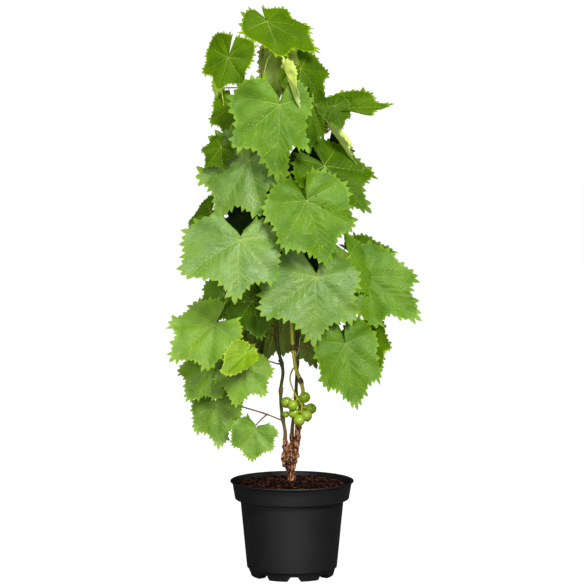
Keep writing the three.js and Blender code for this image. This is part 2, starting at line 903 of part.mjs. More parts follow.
/** A leaf with its petiole: `stalk` is drawn, and `line` stands for it in the tests, short of its blade. */
function leafOn(spray, made) {
  const curve = made.petiole(vector(spray.fork));
  return {
    spray: spray.name,
    blade: made,
    stalk: curve.getPoints(LEAF.petioleSteps),
    line: curve.getPoints(LEAF.petioleTests).slice(0, -LEAF.petioleEnd),
  };
}

/** All leaves: first the hand-placed ones, then those that the dice find room for. */
function growLeaves(canes) {
  const stems = SPRAYS.map((spray) => ({ name: spray.name, fine: lineOf(stemPath(spray)) }));
  const limbs = [...canes, ...stems];
  const placed = [];
  for (const spray of SPRAYS) {
    for (const row of spray.blades ?? []) placed.push(leafOn(spray, new Blade(row)));
  }
  const dice = new Dice(FILL.seed);
  for (const spray of SPRAYS) {
    let wanted = spray.extra ?? 0;
    for (let i = 0; i < FILL.tries && wanted > 0; i += 1) {
      const leaf = leafOn(spray, proposeBlade(spray, dice));
      if (clear(leaf, placed, limbs)) {
        placed.push(leaf);
        wanted -= 1;
      }
    }
  }
  return placed;
}

const STEM = { radius: 1.9, tip: 1.6, sides: 5, straight: 3, below: 10 };

/** The spray's own stem: square to the cane at first, then to the fork. */
function stemPath(spray) {
  const fork = vector(spray.fork);
  const { middle, way, radius } = caneAt(CANES[spray.cane], spray.fork[2] - STEM.below);
  const side = fork.clone().sub(middle);
  side.addScaledVector(way, -side.dot(way)).normalize();
  const start = middle.clone().addScaledVector(side, radius + CLEARANCE);
  const clearOfCane = start.clone().addScaledVector(side, STEM.straight);
  return [start, clearOfCane, clearOfCane.clone().lerp(fork, 0.5), fork];
}

function makeSpray(spray, leaves) {
  const stem = limb(stemPath(spray), (share) => mix(STEM.radius, STEM.tip, share), STEM.sides);
  const pieces = [stem];
  for (const leaf of leaves.filter((one) => one.spray === spray.name)) {
    pieces.push(limb(leaf.stalk, petioleRadius, LEAF.petioleSides));
    pieces.push(leaf.blade.solid());
  }
  return fuse(pieces);
}

// ---------------------------------------------------------------------------------------------
// Grapes
// ---------------------------------------------------------------------------------------------

const GRAPES = {
  berry: 7.7,
  from: 322, // height where the stalk leaves the right cane
  stalk: [[-3, -17, 305], [6, -19, 280], [14, -18, 268], [15, -18, 253]],
  stalkRadius: [[0, 1.6], [1, 1.2]],
  pedicel: 0.9,
  pedicelEnd: 0.9, // share of the way to the berry's middle
  berries: [
    [20, -17, 276],
    [1, -20, 265],
    [30, -16, 258],
    [22, -23, 248],
    [13, -25, 241],
    [4, -23, 251],
    [13, -30, 258],
    [28, -6, 270],
  ],
};

function makeGrapes() {
  const { middle, way, radius } = caneAt(CANES.right, GRAPES.from);
  const side = vector(GRAPES.stalk[0]).sub(middle);
  side.addScaledVector(way, -side.dot(way)).normalize();
  const start = middle.clone().addScaledVector(side, radius + CLEARANCE);
  const bend = start.clone().addScaledVector(side, STEM.straight);
  const stalk = [start, bend, ...GRAPES.stalk.map(vector)];
  const pieces = [limb(stalk, (share) => along(GRAPES.stalkRadius, share), STEM.sides)];
  const rachis = stalk.slice(-3);
  for (const berry of GRAPES.berries) {
    const middleOf = vector(berry);
    const ball = new THREE.IcosahedronGeometry(GRAPES.berry, 1);
    ball.deleteAttribute("normal");
    ball.deleteAttribute("uv");
    ball.translate(...berry);
    pieces.push(solidOf(mergeVertices(ball, WELD)));
    const root = rachis.reduce((best, p) => (p.distanceTo(middleOf) < best.distanceTo(middleOf) ? p : best));
    const end = root.clone().lerp(middleOf, GRAPES.pedicelEnd);
    pieces.push(limb([root, end], () => GRAPES.pedicel, LEAF.petioleSides));
  }
  return fuse(pieces);
}

// ---------------------------------------------------------------------------------------------
// The whole plant
// ---------------------------------------------------------------------------------------------

function makePlant() {
  const plant = new THREE.Group();
  plant.name = "grapevine";
  Object.values(CANES).forEach(growCane);
  plant.add(nodeOf("pot", makePot(), "plastic"));
  plant.add(nodeOf("soil", makeSoil(), "soil"));
  plant.add(nodeOf("trunk", makeTrunk(), "bark"));
  for (const [name, cane] of Object.entries(CANES)) plant.add(nodeOf(`cane_${name}`, cane.solid, "cane"));
  const leaves = growLeaves(Object.values(CANES));
  for (const spray of SPRAYS) plant.add(nodeOf(spray.name, makeSpray(spray, leaves), "leaf"));
  plant.add(nodeOf("grapes", makeGrapes(), "fruit"));
  return plant;
}

export default makePlant();
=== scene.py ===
"""Looks of a young potted grapevine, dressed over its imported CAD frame.

Lengths inside the classes are millimetres in the frame's own axes: +Z up, the viewer on -Y.
They become metres in one place, where a mesh is handed to Blender.
"""

import itertools
import logging
import math
from dataclasses import dataclass, field
from enum import Enum

import bmesh
import bpy
import numpy as np
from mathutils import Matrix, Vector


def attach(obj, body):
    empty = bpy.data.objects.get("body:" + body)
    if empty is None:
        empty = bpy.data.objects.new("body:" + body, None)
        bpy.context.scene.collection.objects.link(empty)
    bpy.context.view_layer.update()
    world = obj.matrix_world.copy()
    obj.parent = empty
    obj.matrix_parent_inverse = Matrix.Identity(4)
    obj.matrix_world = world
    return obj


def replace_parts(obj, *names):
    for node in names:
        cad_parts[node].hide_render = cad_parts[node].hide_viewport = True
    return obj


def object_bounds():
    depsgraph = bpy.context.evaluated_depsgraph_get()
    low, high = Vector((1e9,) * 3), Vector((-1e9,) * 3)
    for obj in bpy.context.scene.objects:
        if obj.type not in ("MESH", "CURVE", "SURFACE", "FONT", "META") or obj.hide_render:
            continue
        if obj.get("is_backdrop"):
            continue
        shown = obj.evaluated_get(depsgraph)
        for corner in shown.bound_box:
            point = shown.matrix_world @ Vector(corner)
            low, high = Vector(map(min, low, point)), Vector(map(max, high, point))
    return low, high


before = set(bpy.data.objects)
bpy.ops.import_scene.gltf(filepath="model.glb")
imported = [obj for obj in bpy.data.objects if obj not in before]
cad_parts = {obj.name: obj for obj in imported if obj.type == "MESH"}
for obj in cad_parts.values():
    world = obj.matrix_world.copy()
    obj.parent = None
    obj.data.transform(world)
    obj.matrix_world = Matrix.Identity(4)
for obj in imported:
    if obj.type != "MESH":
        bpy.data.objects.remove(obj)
cad_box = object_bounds()

logging.basicConfig(level=logging.INFO, format="%(message)s")
log = logging.getLogger("grapevine")

MM = 0.001
BODY = "root"
UP = np.array([0.0, 0.0, 1.0])
CLEARANCE = 0.3
TUBE_END = 0.4
Array = np.ndarray
Piece = bpy.types.Object
Node = bpy.types.Node
Socket = bpy.types.NodeSocket
Sockets = dict[str, Socket]
Colour = tuple[float, float, float]
Place = tuple[float, float, float]
Ball = tuple[float, float, float, float]
Pair = tuple[float, float]
Named = tuple[str, float]
Pairs = list[Pair]


# === Numbers, paths and noise ===

def srgb(red: int, green: int, blue: int) -> Colour:
    """Turn a display colour with channels 0 to 255 into linear light."""

    def linear(channel: int) -> float:
        share = channel / 255
        return share / 12.92 if share <= 0.04045 else ((share + 0.055) / 1.055) ** 2.4

    return (linear(red), linear(green), linear(blue))


def unit(vector: Array) -> Array:
    """Return the vector, or each row of vectors, at length 1."""
    return vector / np.linalg.norm(vector, axis=-1, keepdims=True)


def square_to(vector: Array, way: Array) -> Array:
    """Return the part of a vector that is square to a way of length 1, at length 1."""
    return unit(vector - way * (vector @ way))


def even_shares(count: int) -> Array:
    """Return even shares from 0 to 1."""
    return np.linspace(0, 1, count)


def even_angles(count: int) -> Array:
    """Return even angles for one turn, from 0."""
    return 2 * math.pi * np.arange(count) / count


def mix(start: float, end: float, share: float) -> float:
    """Return the value that lies `share` of the way from start to end."""
    return start + (end - start) * share


def nearest_whole(value: float) -> int:
    """Round halves upward, as the growth rule counts its steps."""
    return math.floor(value + 0.5)


def along(pairs: Pairs, at: float | Array) -> float | Array:
    """Read the broken line through (key, value) pairs.

    Args:
        pairs: The line's corners, with rising keys.
        at: One key or an array of them.

    Returns:
        The value or values there.
    """
    keys, values = zip(*pairs)
    return np.interp(at, keys, values)


@dataclass
class Dice:
    """Seeded dice, so that the plant grows the same way each time."""

    state: int

    FACTOR = 48271
    LIMIT = 2147483647

    def roll(self) -> float:
        """Return the next number between 0 and 1."""
        self.state = (self.state * self.FACTOR) % self.LIMIT
        return self.state / self.LIMIT

    def spread(self, low: float, high: float) -> float:
        """Return the next number between low and high."""
        return low + (high - low) * self.roll()


def lengths_along(path: Array) -> Array:
    """Return how far along a broken line each of its points lies."""
    return np.concatenate([[0], np.cumsum(np.linalg.norm(np.diff(path, axis=0), axis=1))])


def hump(distance: Array, width: float) -> Array:
    """Return a smooth hump: 1 at distance 0, and falling away over the width."""
    return np.exp(-((distance / width) ** 2))


def compass(bearing: float, reach: float = 1, height: float = 0) -> Array:
    """Return the place at a bearing in radians and a reach from the upright axis."""
    return np.array([reach * math.cos(bearing), reach * math.sin(bearing), height])


@dataclass
class SmoothPath:
    """The centripetal curve through a list of stops."""

    stops: list[Place]
    divisions: int = 200

    def points_at(self, shares: Array) -> Array:
        """Return the curve's points at shares of its stops' count."""
        stops = np.asarray(self.stops, dtype=float)
        ends = [2 * stops[0] - stops[1]], stops, [2 * stops[-1] - stops[-2]]
        padded = np.concatenate(ends)
        last = len(stops) - 1
        spot = np.clip(np.asarray(shares, dtype=float), 0, 1) * last
        index = np.minimum(np.floor(spot).astype(int), last - 1)
        weight = (spot - index)[:, None]
        p0, p1, p2, p3 = (padded[index + k] for k in range(4))
        spans = ((p0, p1), (p1, p2), (p2, p3))
        d0, d1, d2 = (np.sqrt(np.linalg.norm(b - a, axis=1))[:, None] for a, b in spans)
        start = ((p1 - p0) / d0 - (p2 - p0) / (d0 + d1) + (p2 - p1) / d1) * d1
        end = ((p2 - p1) / d1 - (p3 - p1) / (d1 + d2) + (p3 - p2) / d2) * d1
        square = -3 * p1 + 3 * p2 - 2 * start - end
        cube = 2 * p1 - 2 * p2 + start + end
        return p1 + start * weight + square * weight**2 + cube * weight**3

    def spaced(self, step: float) -> Array:
        """Return points about `step` apart, evenly spaced along the curve."""
        shares = np.arange(self.divisions + 1) / self.divisions
        rough = self.points_at(shares)
        lengths = lengths_along(rough)
        count = max(2, nearest_whole(lengths[-1] / step))
        targets = np.arange(count + 1) / count * lengths[-1]
        return self.points_at(np.interp(targets, lengths, shares))


def bezier(start: Array, bend: Array, end: Array, count: int) -> Array:
    """Return count + 1 points on the quadratic curve from start to end."""
    share = (np.arange(count + 1) / count)[:, None]
    return (1 - share) ** 2 * start + 2 * (1 - share) * share * bend + share**2 * end


def line_of(path: Array, step: float = 5) -> Array:
    """Return points every few millimetres along a broken line."""
    points = []
    for start, end in zip(path[:-1], path[1:]):
        count = max(1, nearest_whole(np.linalg.norm(end - start) / step))
        points.extend(start + (end - start) * (i / count) for i in range(count))
    points.append(path[-1])
    return np.array(points)


HASH_AXES = np.array([73856093, 19349663, 83492791])
HASH_SEED = (97, 11, 2654435761)
HASH_ROUNDS = ((13, 1274126177), (16, 2246822519))


def lattice_noise(points: Array, cell: float | Place, seed: int) -> Array:
    """Smooth seeded noise.

    Args:
        points: Places, one a row.
        cell: Size of the lattice's cells, as one number or one for each axis.
        seed: Which noise.

    Returns:
        A value between -1 and 1 for each place.
    """
    grid = points / np.asarray(cell, dtype=float)
    base = np.floor(grid).astype(np.int64)
    part = grid - base
    part = part * part * (3 - 2 * part)
    total = np.zeros(len(points))
    factor, plus, spread = HASH_SEED
    for corner in itertools.product((0, 1), repeat=3):
        spot = (base + np.array(corner)) * HASH_AXES
        code = spot[:, 0] ^ spot[:, 1] ^ spot[:, 2] ^ (seed * factor + plus) * spread
        for shift, scramble in HASH_ROUNDS:
            code = ((code ^ (code >> shift)) * scramble) & 0xFFFFFFFF
        value = ((code >> 8) & 0xFFFF) / 32767.5 - 1
        weight = np.prod(np.where(np.array(corner) == 1, part, 1 - part), axis=1)
        total += weight * value
    return total


# === Meshes ===

@dataclass
class Shape:
    """Points and faces gathered for one mesh, with a finish number for each face."""

    points: list[Array] = field(default_factory=list)
    corners: list[Array] = field(default_factory=list)
    finishes: list[Array] = field(default_factory=list)
    count: int = 0

    def add(self, points: Array, faces: Array, finish: int | Array = 0) -> int:
        """Add points and the faces between them.

        Args:
            points: New points in millimetres.
            faces: Rows of three or four indices into the new points; a triangle in four ends in -1.
            finish: One finish number for all the faces, or one for each.

        Returns:
            The index of the first new point.
        """
        start = self.count
        rows = np.asarray(faces, dtype=np.int64)
        if rows.shape[1] == 3:
            rows = np.column_stack([rows, np.full(len(rows), -1)])
        rows = np.where(rows >= 0, rows + start, -1)
        self.points.append(np.asarray(points, dtype=float))
        self.corners.append(rows)
        self.finishes.append(np.broadcast_to(np.asarray(finish), (len(rows),)))
        self.count += len(points)
        return start

    def mesh(self, name: str) -> bpy.types.Mesh:
        """Make a Blender mesh in metres."""
        rows = np.concatenate(self.corners)
        sizes = np.where(rows[:, 3] >= 0, 4, 3)
        flat = rows[rows >= 0].astype(np.int32)
        mesh = bpy.data.meshes.new(name)
        mesh.vertices.add(self.count)
        mesh.vertices.foreach_set("co", (np.concatenate(self.points) * MM).astype(np.float32).ravel())
        mesh.loops.add(len(flat))
        mesh.loops.foreach_set("vertex_index", flat)
        mesh.polygons.add(len(rows))
        starts = np.concatenate([[0], np.cumsum(sizes)[:-1]]).astype(np.int32)
        mesh.polygons.foreach_set("loop_start", starts)
        mesh.polygons.foreach_set("material_index", np.concatenate(self.finishes).astype(np.int32))
        mesh.update(calc_edges=True)
        return mesh


def ring_faces(rings: int, count: int, first: int = 0) -> Array:
    """Faces between closed rings of points that lie one after the other.

    Args:
        rings: How many rings.
        count: Points in each ring.
        first: Index of the first ring's first point.

    Returns:
        Rows of four indices, facing outward where the rings turn anticlockwise as they go away.
    """
    ring = np.arange(rings - 1)[:, None] * count + first
    here = np.arange(count)[None, :]
    after = (here + 1) % count
    faces = np.stack([ring + here, ring + after, ring + count + after, ring + count + here], axis=-1)
    return faces.reshape(-1, 4)


def turned_over(faces: Array) -> Array:
    """Return rows of four indices with every face turned over; a triangle still ends in -1."""
    return np.where(faces[:, 3:] >= 0, faces[:, ::-1], faces[:, [0, 2, 1, 3]])


def fan_faces(middle: int, first: int, count: int, flip: bool = False) -> Array:
    """Triangles from a middle point to a closed ring, as rows of four that end in -1."""
    here = np.arange(count)
    after = (here + 1) % count
    sides = (first + after, first + here) if flip else (first + here, first + after)
    return np.column_stack([np.full(count, middle), *sides, np.full(count, -1)])


def capped(foot: Array, tip: Array, rings: Array) -> tuple[Array, Array]:
    """Close a stack of rings with a point at each end.

    Args:
        foot: The point before the first ring.
        tip: The point after the last ring.
        rings: The rings' points as an array of ring, side and axis.

    Returns:
        Points and rows of four corner indices.
    """
    count, sides = rings.shape[:2]
    points = np.concatenate([[foot, tip], rings.reshape(-1, 3)])
    last_ring = 2 + (count - 1) * sides
    ends = [fan_faces(0, 2, sides, flip=True), fan_faces(1, last_ring, sides)]
    return points, np.concatenate([ring_faces(count, sides, 2), *ends])


def turned(profile: Pairs, segments: int) -> tuple[Array, Array]:
    """Turn an outward-facing profile round the upright axis.

    Args:
        profile: (radius, height) pairs that start and end on the axis.
        segments: Points round each ring.

    Returns:
        Points and rows of four corner indices.
    """
    angles = even_angles(segments)
    inner = np.array(profile[1:-1], dtype=float)
    heights = np.repeat(inner[:, 1:], segments, axis=1)
    rings = np.stack([inner[:, :1] * np.cos(angles), inner[:, :1] * np.sin(angles), heights], axis=-1)
    return capped(UP * profile[0][1], UP * profile[-1][1], rings)


def linked(name: str, data: bpy.types.ID) -> Piece:
    """Return a new object that holds the data, linked to the scene."""
    made = bpy.data.objects.new(name, data)
    bpy.context.scene.collection.objects.link(made)
    return made


def settled(thing: Piece) -> bpy.types.Mesh:
    """Return a new mesh: the object's own with its modifiers worked in."""
    return bpy.data.meshes.new_from_object(thing.evaluated_get(bpy.context.evaluated_depsgraph_get()))


def tube(path: Array, radii: Array, sides: int) -> tuple[Array, Array]:
    """A closed tube with softly rounded ends.

    Args:
        path: Its middle line, one place a row.
        radii: A radius for each place, or one for each place and side.
        sides: Points round each ring.

    Returns:
        Points and rows of four corner indices.
    """
    ways = unit(np.gradient(path, axis=0))
    nearly_along_x = abs(ways[0][0]) >= 0.9
    across = np.array([0.0, 1.0, 0.0]) if nearly_along_x else np.array([1.0, 0.0, 0.0])
    angles = even_angles(sides)
    radii = np.broadcast_to(np.asarray(radii, dtype=float).reshape(len(path), -1), (len(path), sides))
    rings = []
    for place, way, radius in zip(path, ways, radii):
        across = square_to(across, way)
        beside = np.cross(way, across)
        spokes = np.outer(np.cos(angles), across) + np.outer(np.sin(angles), beside)
        rings.append(place + spokes * radius[:, None])
    foot = path[0] - ways[0] * radii[0].mean() * TUBE_END
    tip = path[-1] + ways[-1] * radii[-1].mean() * TUBE_END
    return capped(foot, tip, np.array(rings))


def ball(subdivisions: int) -> tuple[Array, Array]:
    """A unit ball of triangles."""
    mesh = bpy.data.meshes.new("ball")
    shape = bmesh.new()
    bmesh.ops.create_icosphere(shape, subdivisions=subdivisions, radius=1)
    shape.to_mesh(mesh)
    shape.free()
    points = np.array([vertex.co[:] for vertex in mesh.vertices])
    faces = np.array([face.vertices[:] for face in mesh.polygons])
    bpy.data.meshes.remove(mesh)
    return points, faces


# === The growth rule, the same as in the part's source ===

class Tint(Enum):
    """Which green a leaf has; some tints are painted shade, painted light or painted sheen rather than the
    leaf's own green.
    """

    # near-black green: painted shade, standing for the shade deep inside the crown
    SHADE = "shade"
    # deep green: partly a darker green, partly painted shade for leaves at the back of the crown and in
    # dark gaps
    DEEP = "deep"
    GREEN = "green"
    # soft grey-green: partly painted sheen, the grey of a soft reflection put into the colour; its
    # yellow-green patches, laid by noise, are partly painted shade of pleats
    SOFT = "soft"
    # pale yellow-green: partly a pale leaf's own colour, partly painted light, as of light shining through
    # the blade
    PALE = "pale"
    FRESH = "fresh"
    YELLOW = "yellow"
    # painted light: a brighter green for low leaves that the lamps leave in shade
    LIGHT = "light"


class Zone(Enum):
    """The parts of the crown that the leaves are joined by."""

    TOP = "top"
    UPPER = "upper"
    MIDDLE = "middle"
    WAIST = "waist"
    LOW = "low"
    BACK = "back"


@dataclass
class Cane:
    """One climbing cane: its middle line and how thick it is."""

    name: str
    stops: list[Place]
    radii: Pairs
    step: float = 26

    STEM_STRAIGHT = 3

    def __post_init__(self) -> None:
        """Work out the rule's coarse path."""
        self.path = SmoothPath(self.stops).spaced(self.step)
        self.fine = line_of(self.path)

    def at(self, height: float) -> tuple[Array, Array, float]:
        """Where the cane passes a height.

        Args:
            height: Height over the pot's underside.

        Returns:
            The cane's middle, its direction and its radius there.
        """
        last = len(self.path) - 1
        k = next((i for i in range(last) if self.path[i + 1][2] >= height), last - 1)
        start, end = self.path[k], self.path[k + 1]
        share = (height - start[2]) / (end[2] - start[2])
        radius = float(along(self.radii, (k + share) / last))
        return start + (end - start) * share, unit(end - start), radius

    def leave(self, height: float, toward: Array) -> tuple[Array, Array]:
        """Return where a stem leaves the cane square to it, and where it comes clear of it.

        Args:
            height: Height of the place on the cane.
            toward: The place that the stem goes to.

        Returns:
            The stem's start and the end of its straight part.
        """
        middle, way, radius = self.at(height)
        side = square_to(toward - middle, way)
        start = middle + side * (radius + CLEARANCE)
        return start, start + side * self.STEM_STRAIGHT


CANES = {cane.name: cane for cane in (
    Cane(
        "left",
        stops=[
            (-10.5, 0, 209.3 + CLEARANCE), (-10.7, 0, 222), (-15, -2, 246), (-17, -3, 266),
            (-17, -3, 290), (-14, -3, 315), (-21, -4, 350), (-25, -6, 400), (-28, -7, 470),
            (-32, -9, 550), (-35, -10, 640), (-43, -13, 720), (-45, -15, 770), (-44, -18, 808),
        ],
        radii=[(0, 2.8), (0.03, 2.3), (0.6, 2), (1, 1.3)],
    ),
    Cane(
        "right",
        stops=[
            (9.5, -1, 235 + CLEARANCE), (9.7, -1.3, 242), (12, -4, 259), (17, -6, 281),
            (13.5, -8, 300), (6, -9, 320), (1.5, -10, 354), (-1, -11, 400), (1, -12, 470),
            (-1, -13, 550), (-5, -14, 630), (-11, -16, 700), (-14, -18, 778),
        ],
        radii=[(0, 3.4), (0.03, 2.3), (0.6, 1.9), (1, 1.3)],
    ),
    Cane(
        "back",
        stops=[
            (0, 14, 215 + CLEARANCE), (0.3, 14.2, 225), (5, 20, 265), (8, 25, 330), (10, 27, 420),
            (17, 26, 500), (32, 20, 580), (46, 10, 650), (46, 2, 710), (42, -3, 748),
        ],
        radii=[(0, 2.9), (0.03, 2.4), (0.6, 2), (1, 1.3)],
    ),
)}


@dataclass
class Blade:
    """One leaf blade: a place for its junction, a size, three turns and its habit.

    The midrib runs along `mid` from the junction, `left` lies square to it in the blade and
    `out` is the upper side's direction. From `grow` on, the fields shape only the full form: its
    size and width as factors, the turns of its sinus and of the whole blade in degrees, how far
    the bays between its lobes are filled, how much wider its sinus gapes in degrees, and how far
    it is moved.
    """

    x: float
    y: float
    z: float
    length: float
    width: float
    faces: float
    tilt: float
    swing: float
    fold: float = 6
    droop: float = 0.08
    sinus: float = 25
    curl: float = 0.05
    lobe: float = 1
    lop: float = 1
    tint: Tint = Tint.GREEN
    grow: float = 1
    slim: float = 1
    skew: float = 0
    turn: float = 0
    full: float = 0
    gape: float = 0
    shift: Place = (0, 0, 0)

    KEYS = [(0, 1), (16, 0.76), (27, 0.7), (48, 0.88), (68, 0.66), (90, 0.72)]
    LOBE = [0.58, 0.44]
    SINUS_FLOOR = 0.15
    SINUS_LIP = 0.55
    BEHIND = 0.05
    TRUE_WIDTH = 1.4
    GATHER = 0.05
    SAMPLE_RING = 0.6
    PETIOLE_TESTS = 16
    PETIOLE_END = 3
    PETIOLE_BACK = 0.3
    PETIOLE_RISE = 0.1

    def __post_init__(self) -> None:
        """Work out the blade's axes, its rim and the points that its tests use."""
        self.low_slim = (2 * self.width) / ((1 + self.lop) * self.TRUE_WIDTH * self.length)
        self.high_slim = self.lop * self.low_slim
        f, t, s = (math.radians(turn) for turn in (self.faces, self.tilt, self.swing))
        self.out = np.array([math.sin(t) * math.cos(f), math.sin(t) * math.sin(f), math.cos(t)])
        down = np.array([math.cos(t) * math.cos(f), math.cos(t) * math.sin(f), -math.sin(t)])
        self.mid = down * math.cos(s) + np.cross(self.out, down) * math.sin(s)
        self.left = np.cross(self.out, self.mid)
        self.place = np.array([self.x, self.y, self.z], dtype=float)
        self.rim_angles, self.rim_reaches = self.make_rim()
        self.samples = self.make_samples()

    def half_keys(self, gape: float = 0) -> Pairs:
        """Return the half outline's corners from the tip to the basal lobe, as (angle, reach)."""
        half = [(math.radians(degrees), reach) for degrees, reach in self.KEYS]
        first, last = self.KEYS[-1][0], 180 - self.sinus - gape
        for i, reach in enumerate(self.LOBE):
            half.append((math.radians(mix(first, last, (i + 1) / len(self.LOBE))), reach * self.lobe))
        return half

    def make_rim(self) -> tuple[Array, Array]:
        """Return the plain outline's angles, rising from the sinus, and its reaches."""
        half = self.half_keys()
        half.append((math.radians(180 - self.sinus * self.SINUS_LIP), self.SINUS_FLOOR))
        other = [(-angle, reach) for angle, reach in reversed(half[1:])]
        rim = [(-math.pi, self.BEHIND), *other, *half]
        return np.array([angle for angle, _ in rim]), np.array([reach for _, reach in rim])

    def reach_at(self, angles: Array) -> Array:
        """Return the plain outline's reach at each angle, as a share of the midrib."""
        return np.interp(angles, self.rim_angles, self.rim_reaches, right=self.BEHIND)

    def slim_at(self, y: Array) -> Array:
        """Return how much the half that holds each y is stretched."""
        return np.where(y > 0, self.high_slim, self.low_slim)

    def height(self, x: Array, y: Array) -> Array:
        """Return the height of the blade's middle over its plane."""
        soft = self.GATHER * self.length
        folded = math.tan(math.radians(self.fold)) * (soft - np.sqrt(y * y + soft * soft))
        return folded - (self.droop * x * np.abs(x)) / self.length - (self.curl * y * y) / self.length

    def points(self, x: Array, y: Array, lift: Array | float = 0) -> Array:
        """Return the places of points of the blade, `lift` over its middle."""
        rise = self.height(x, y) + lift
        return self.place + np.outer(x, self.mid) + np.outer(y, self.left) + np.outer(rise, self.out)

    def flat(self, angles: Array, reaches: Array) -> tuple[Array, Array]:
        """Return x and y of points given as an angle and a share of the midrib."""
        y = reaches * self.length * np.sin(angles)
        return reaches * self.length * np.cos(angles), y * self.slim_at(y)

    def make_samples(self) -> Array:
        """Return the points that stand for the blade when it is tested against other leaves."""
        rim = self.points(*self.flat(self.rim_angles, self.rim_reaches))
        inner = self.points(*self.flat(self.rim_angles[::2], self.rim_reaches[::2] * self.SAMPLE_RING))
        return np.concatenate([[self.place], rim, inner])

    def petiole(self, fork: Array, count: int) -> Array:
        """Return the petiole's path from the spray's fork to the back of the junction."""
        reach = np.linalg.norm(fork - self.place)
        bend = self.place - self.out * self.PETIOLE_BACK * reach
        bend[2] += self.PETIOLE_RISE * reach
        return bezier(fork, bend, self.place, count)


@dataclass
class Spray:
    """A short stem that hangs from one cane and holds a few leaves."""

    name: str
    zone: Zone
    cane: str
    fork: Place
    blades: list[Blade] = field(default_factory=list)
    bearing: float = 0
    extra: int = 0
    share: Pair = (0.45, 1)
    nudges: dict[int, tuple[float, Place]] = field(default_factory=dict)

    STEM_BELOW = 10

    def stem(self) -> Array:
        """Return the stem's corners: square to the cane at first, then to the fork."""
        fork = np.array(self.fork, dtype=float)
        start, clear_of_cane = CANES[self.cane].leave(self.fork[2] - self.STEM_BELOW, fork)
        return np.array([start, clear_of_cane, (clear_of_cane + fork) / 2, fork])


@dataclass
class Leaf:
    """A blade with the spray that it grows on."""

    spray: Spray
    blade: Blade

    def __post_init__(self) -> None:
        """Work out the petiole's line for the tests, short of the blade."""
        path = self.blade.petiole(np.array(self.spray.fork, dtype=float), self.blade.PETIOLE_TESTS)
        self.line = path[: -self.blade.PETIOLE_END]


# How far out the inner sprays' leaves grow, as shares of the crown's reach; these leaves are painted shade.
INNER = (0.3, 0.62)
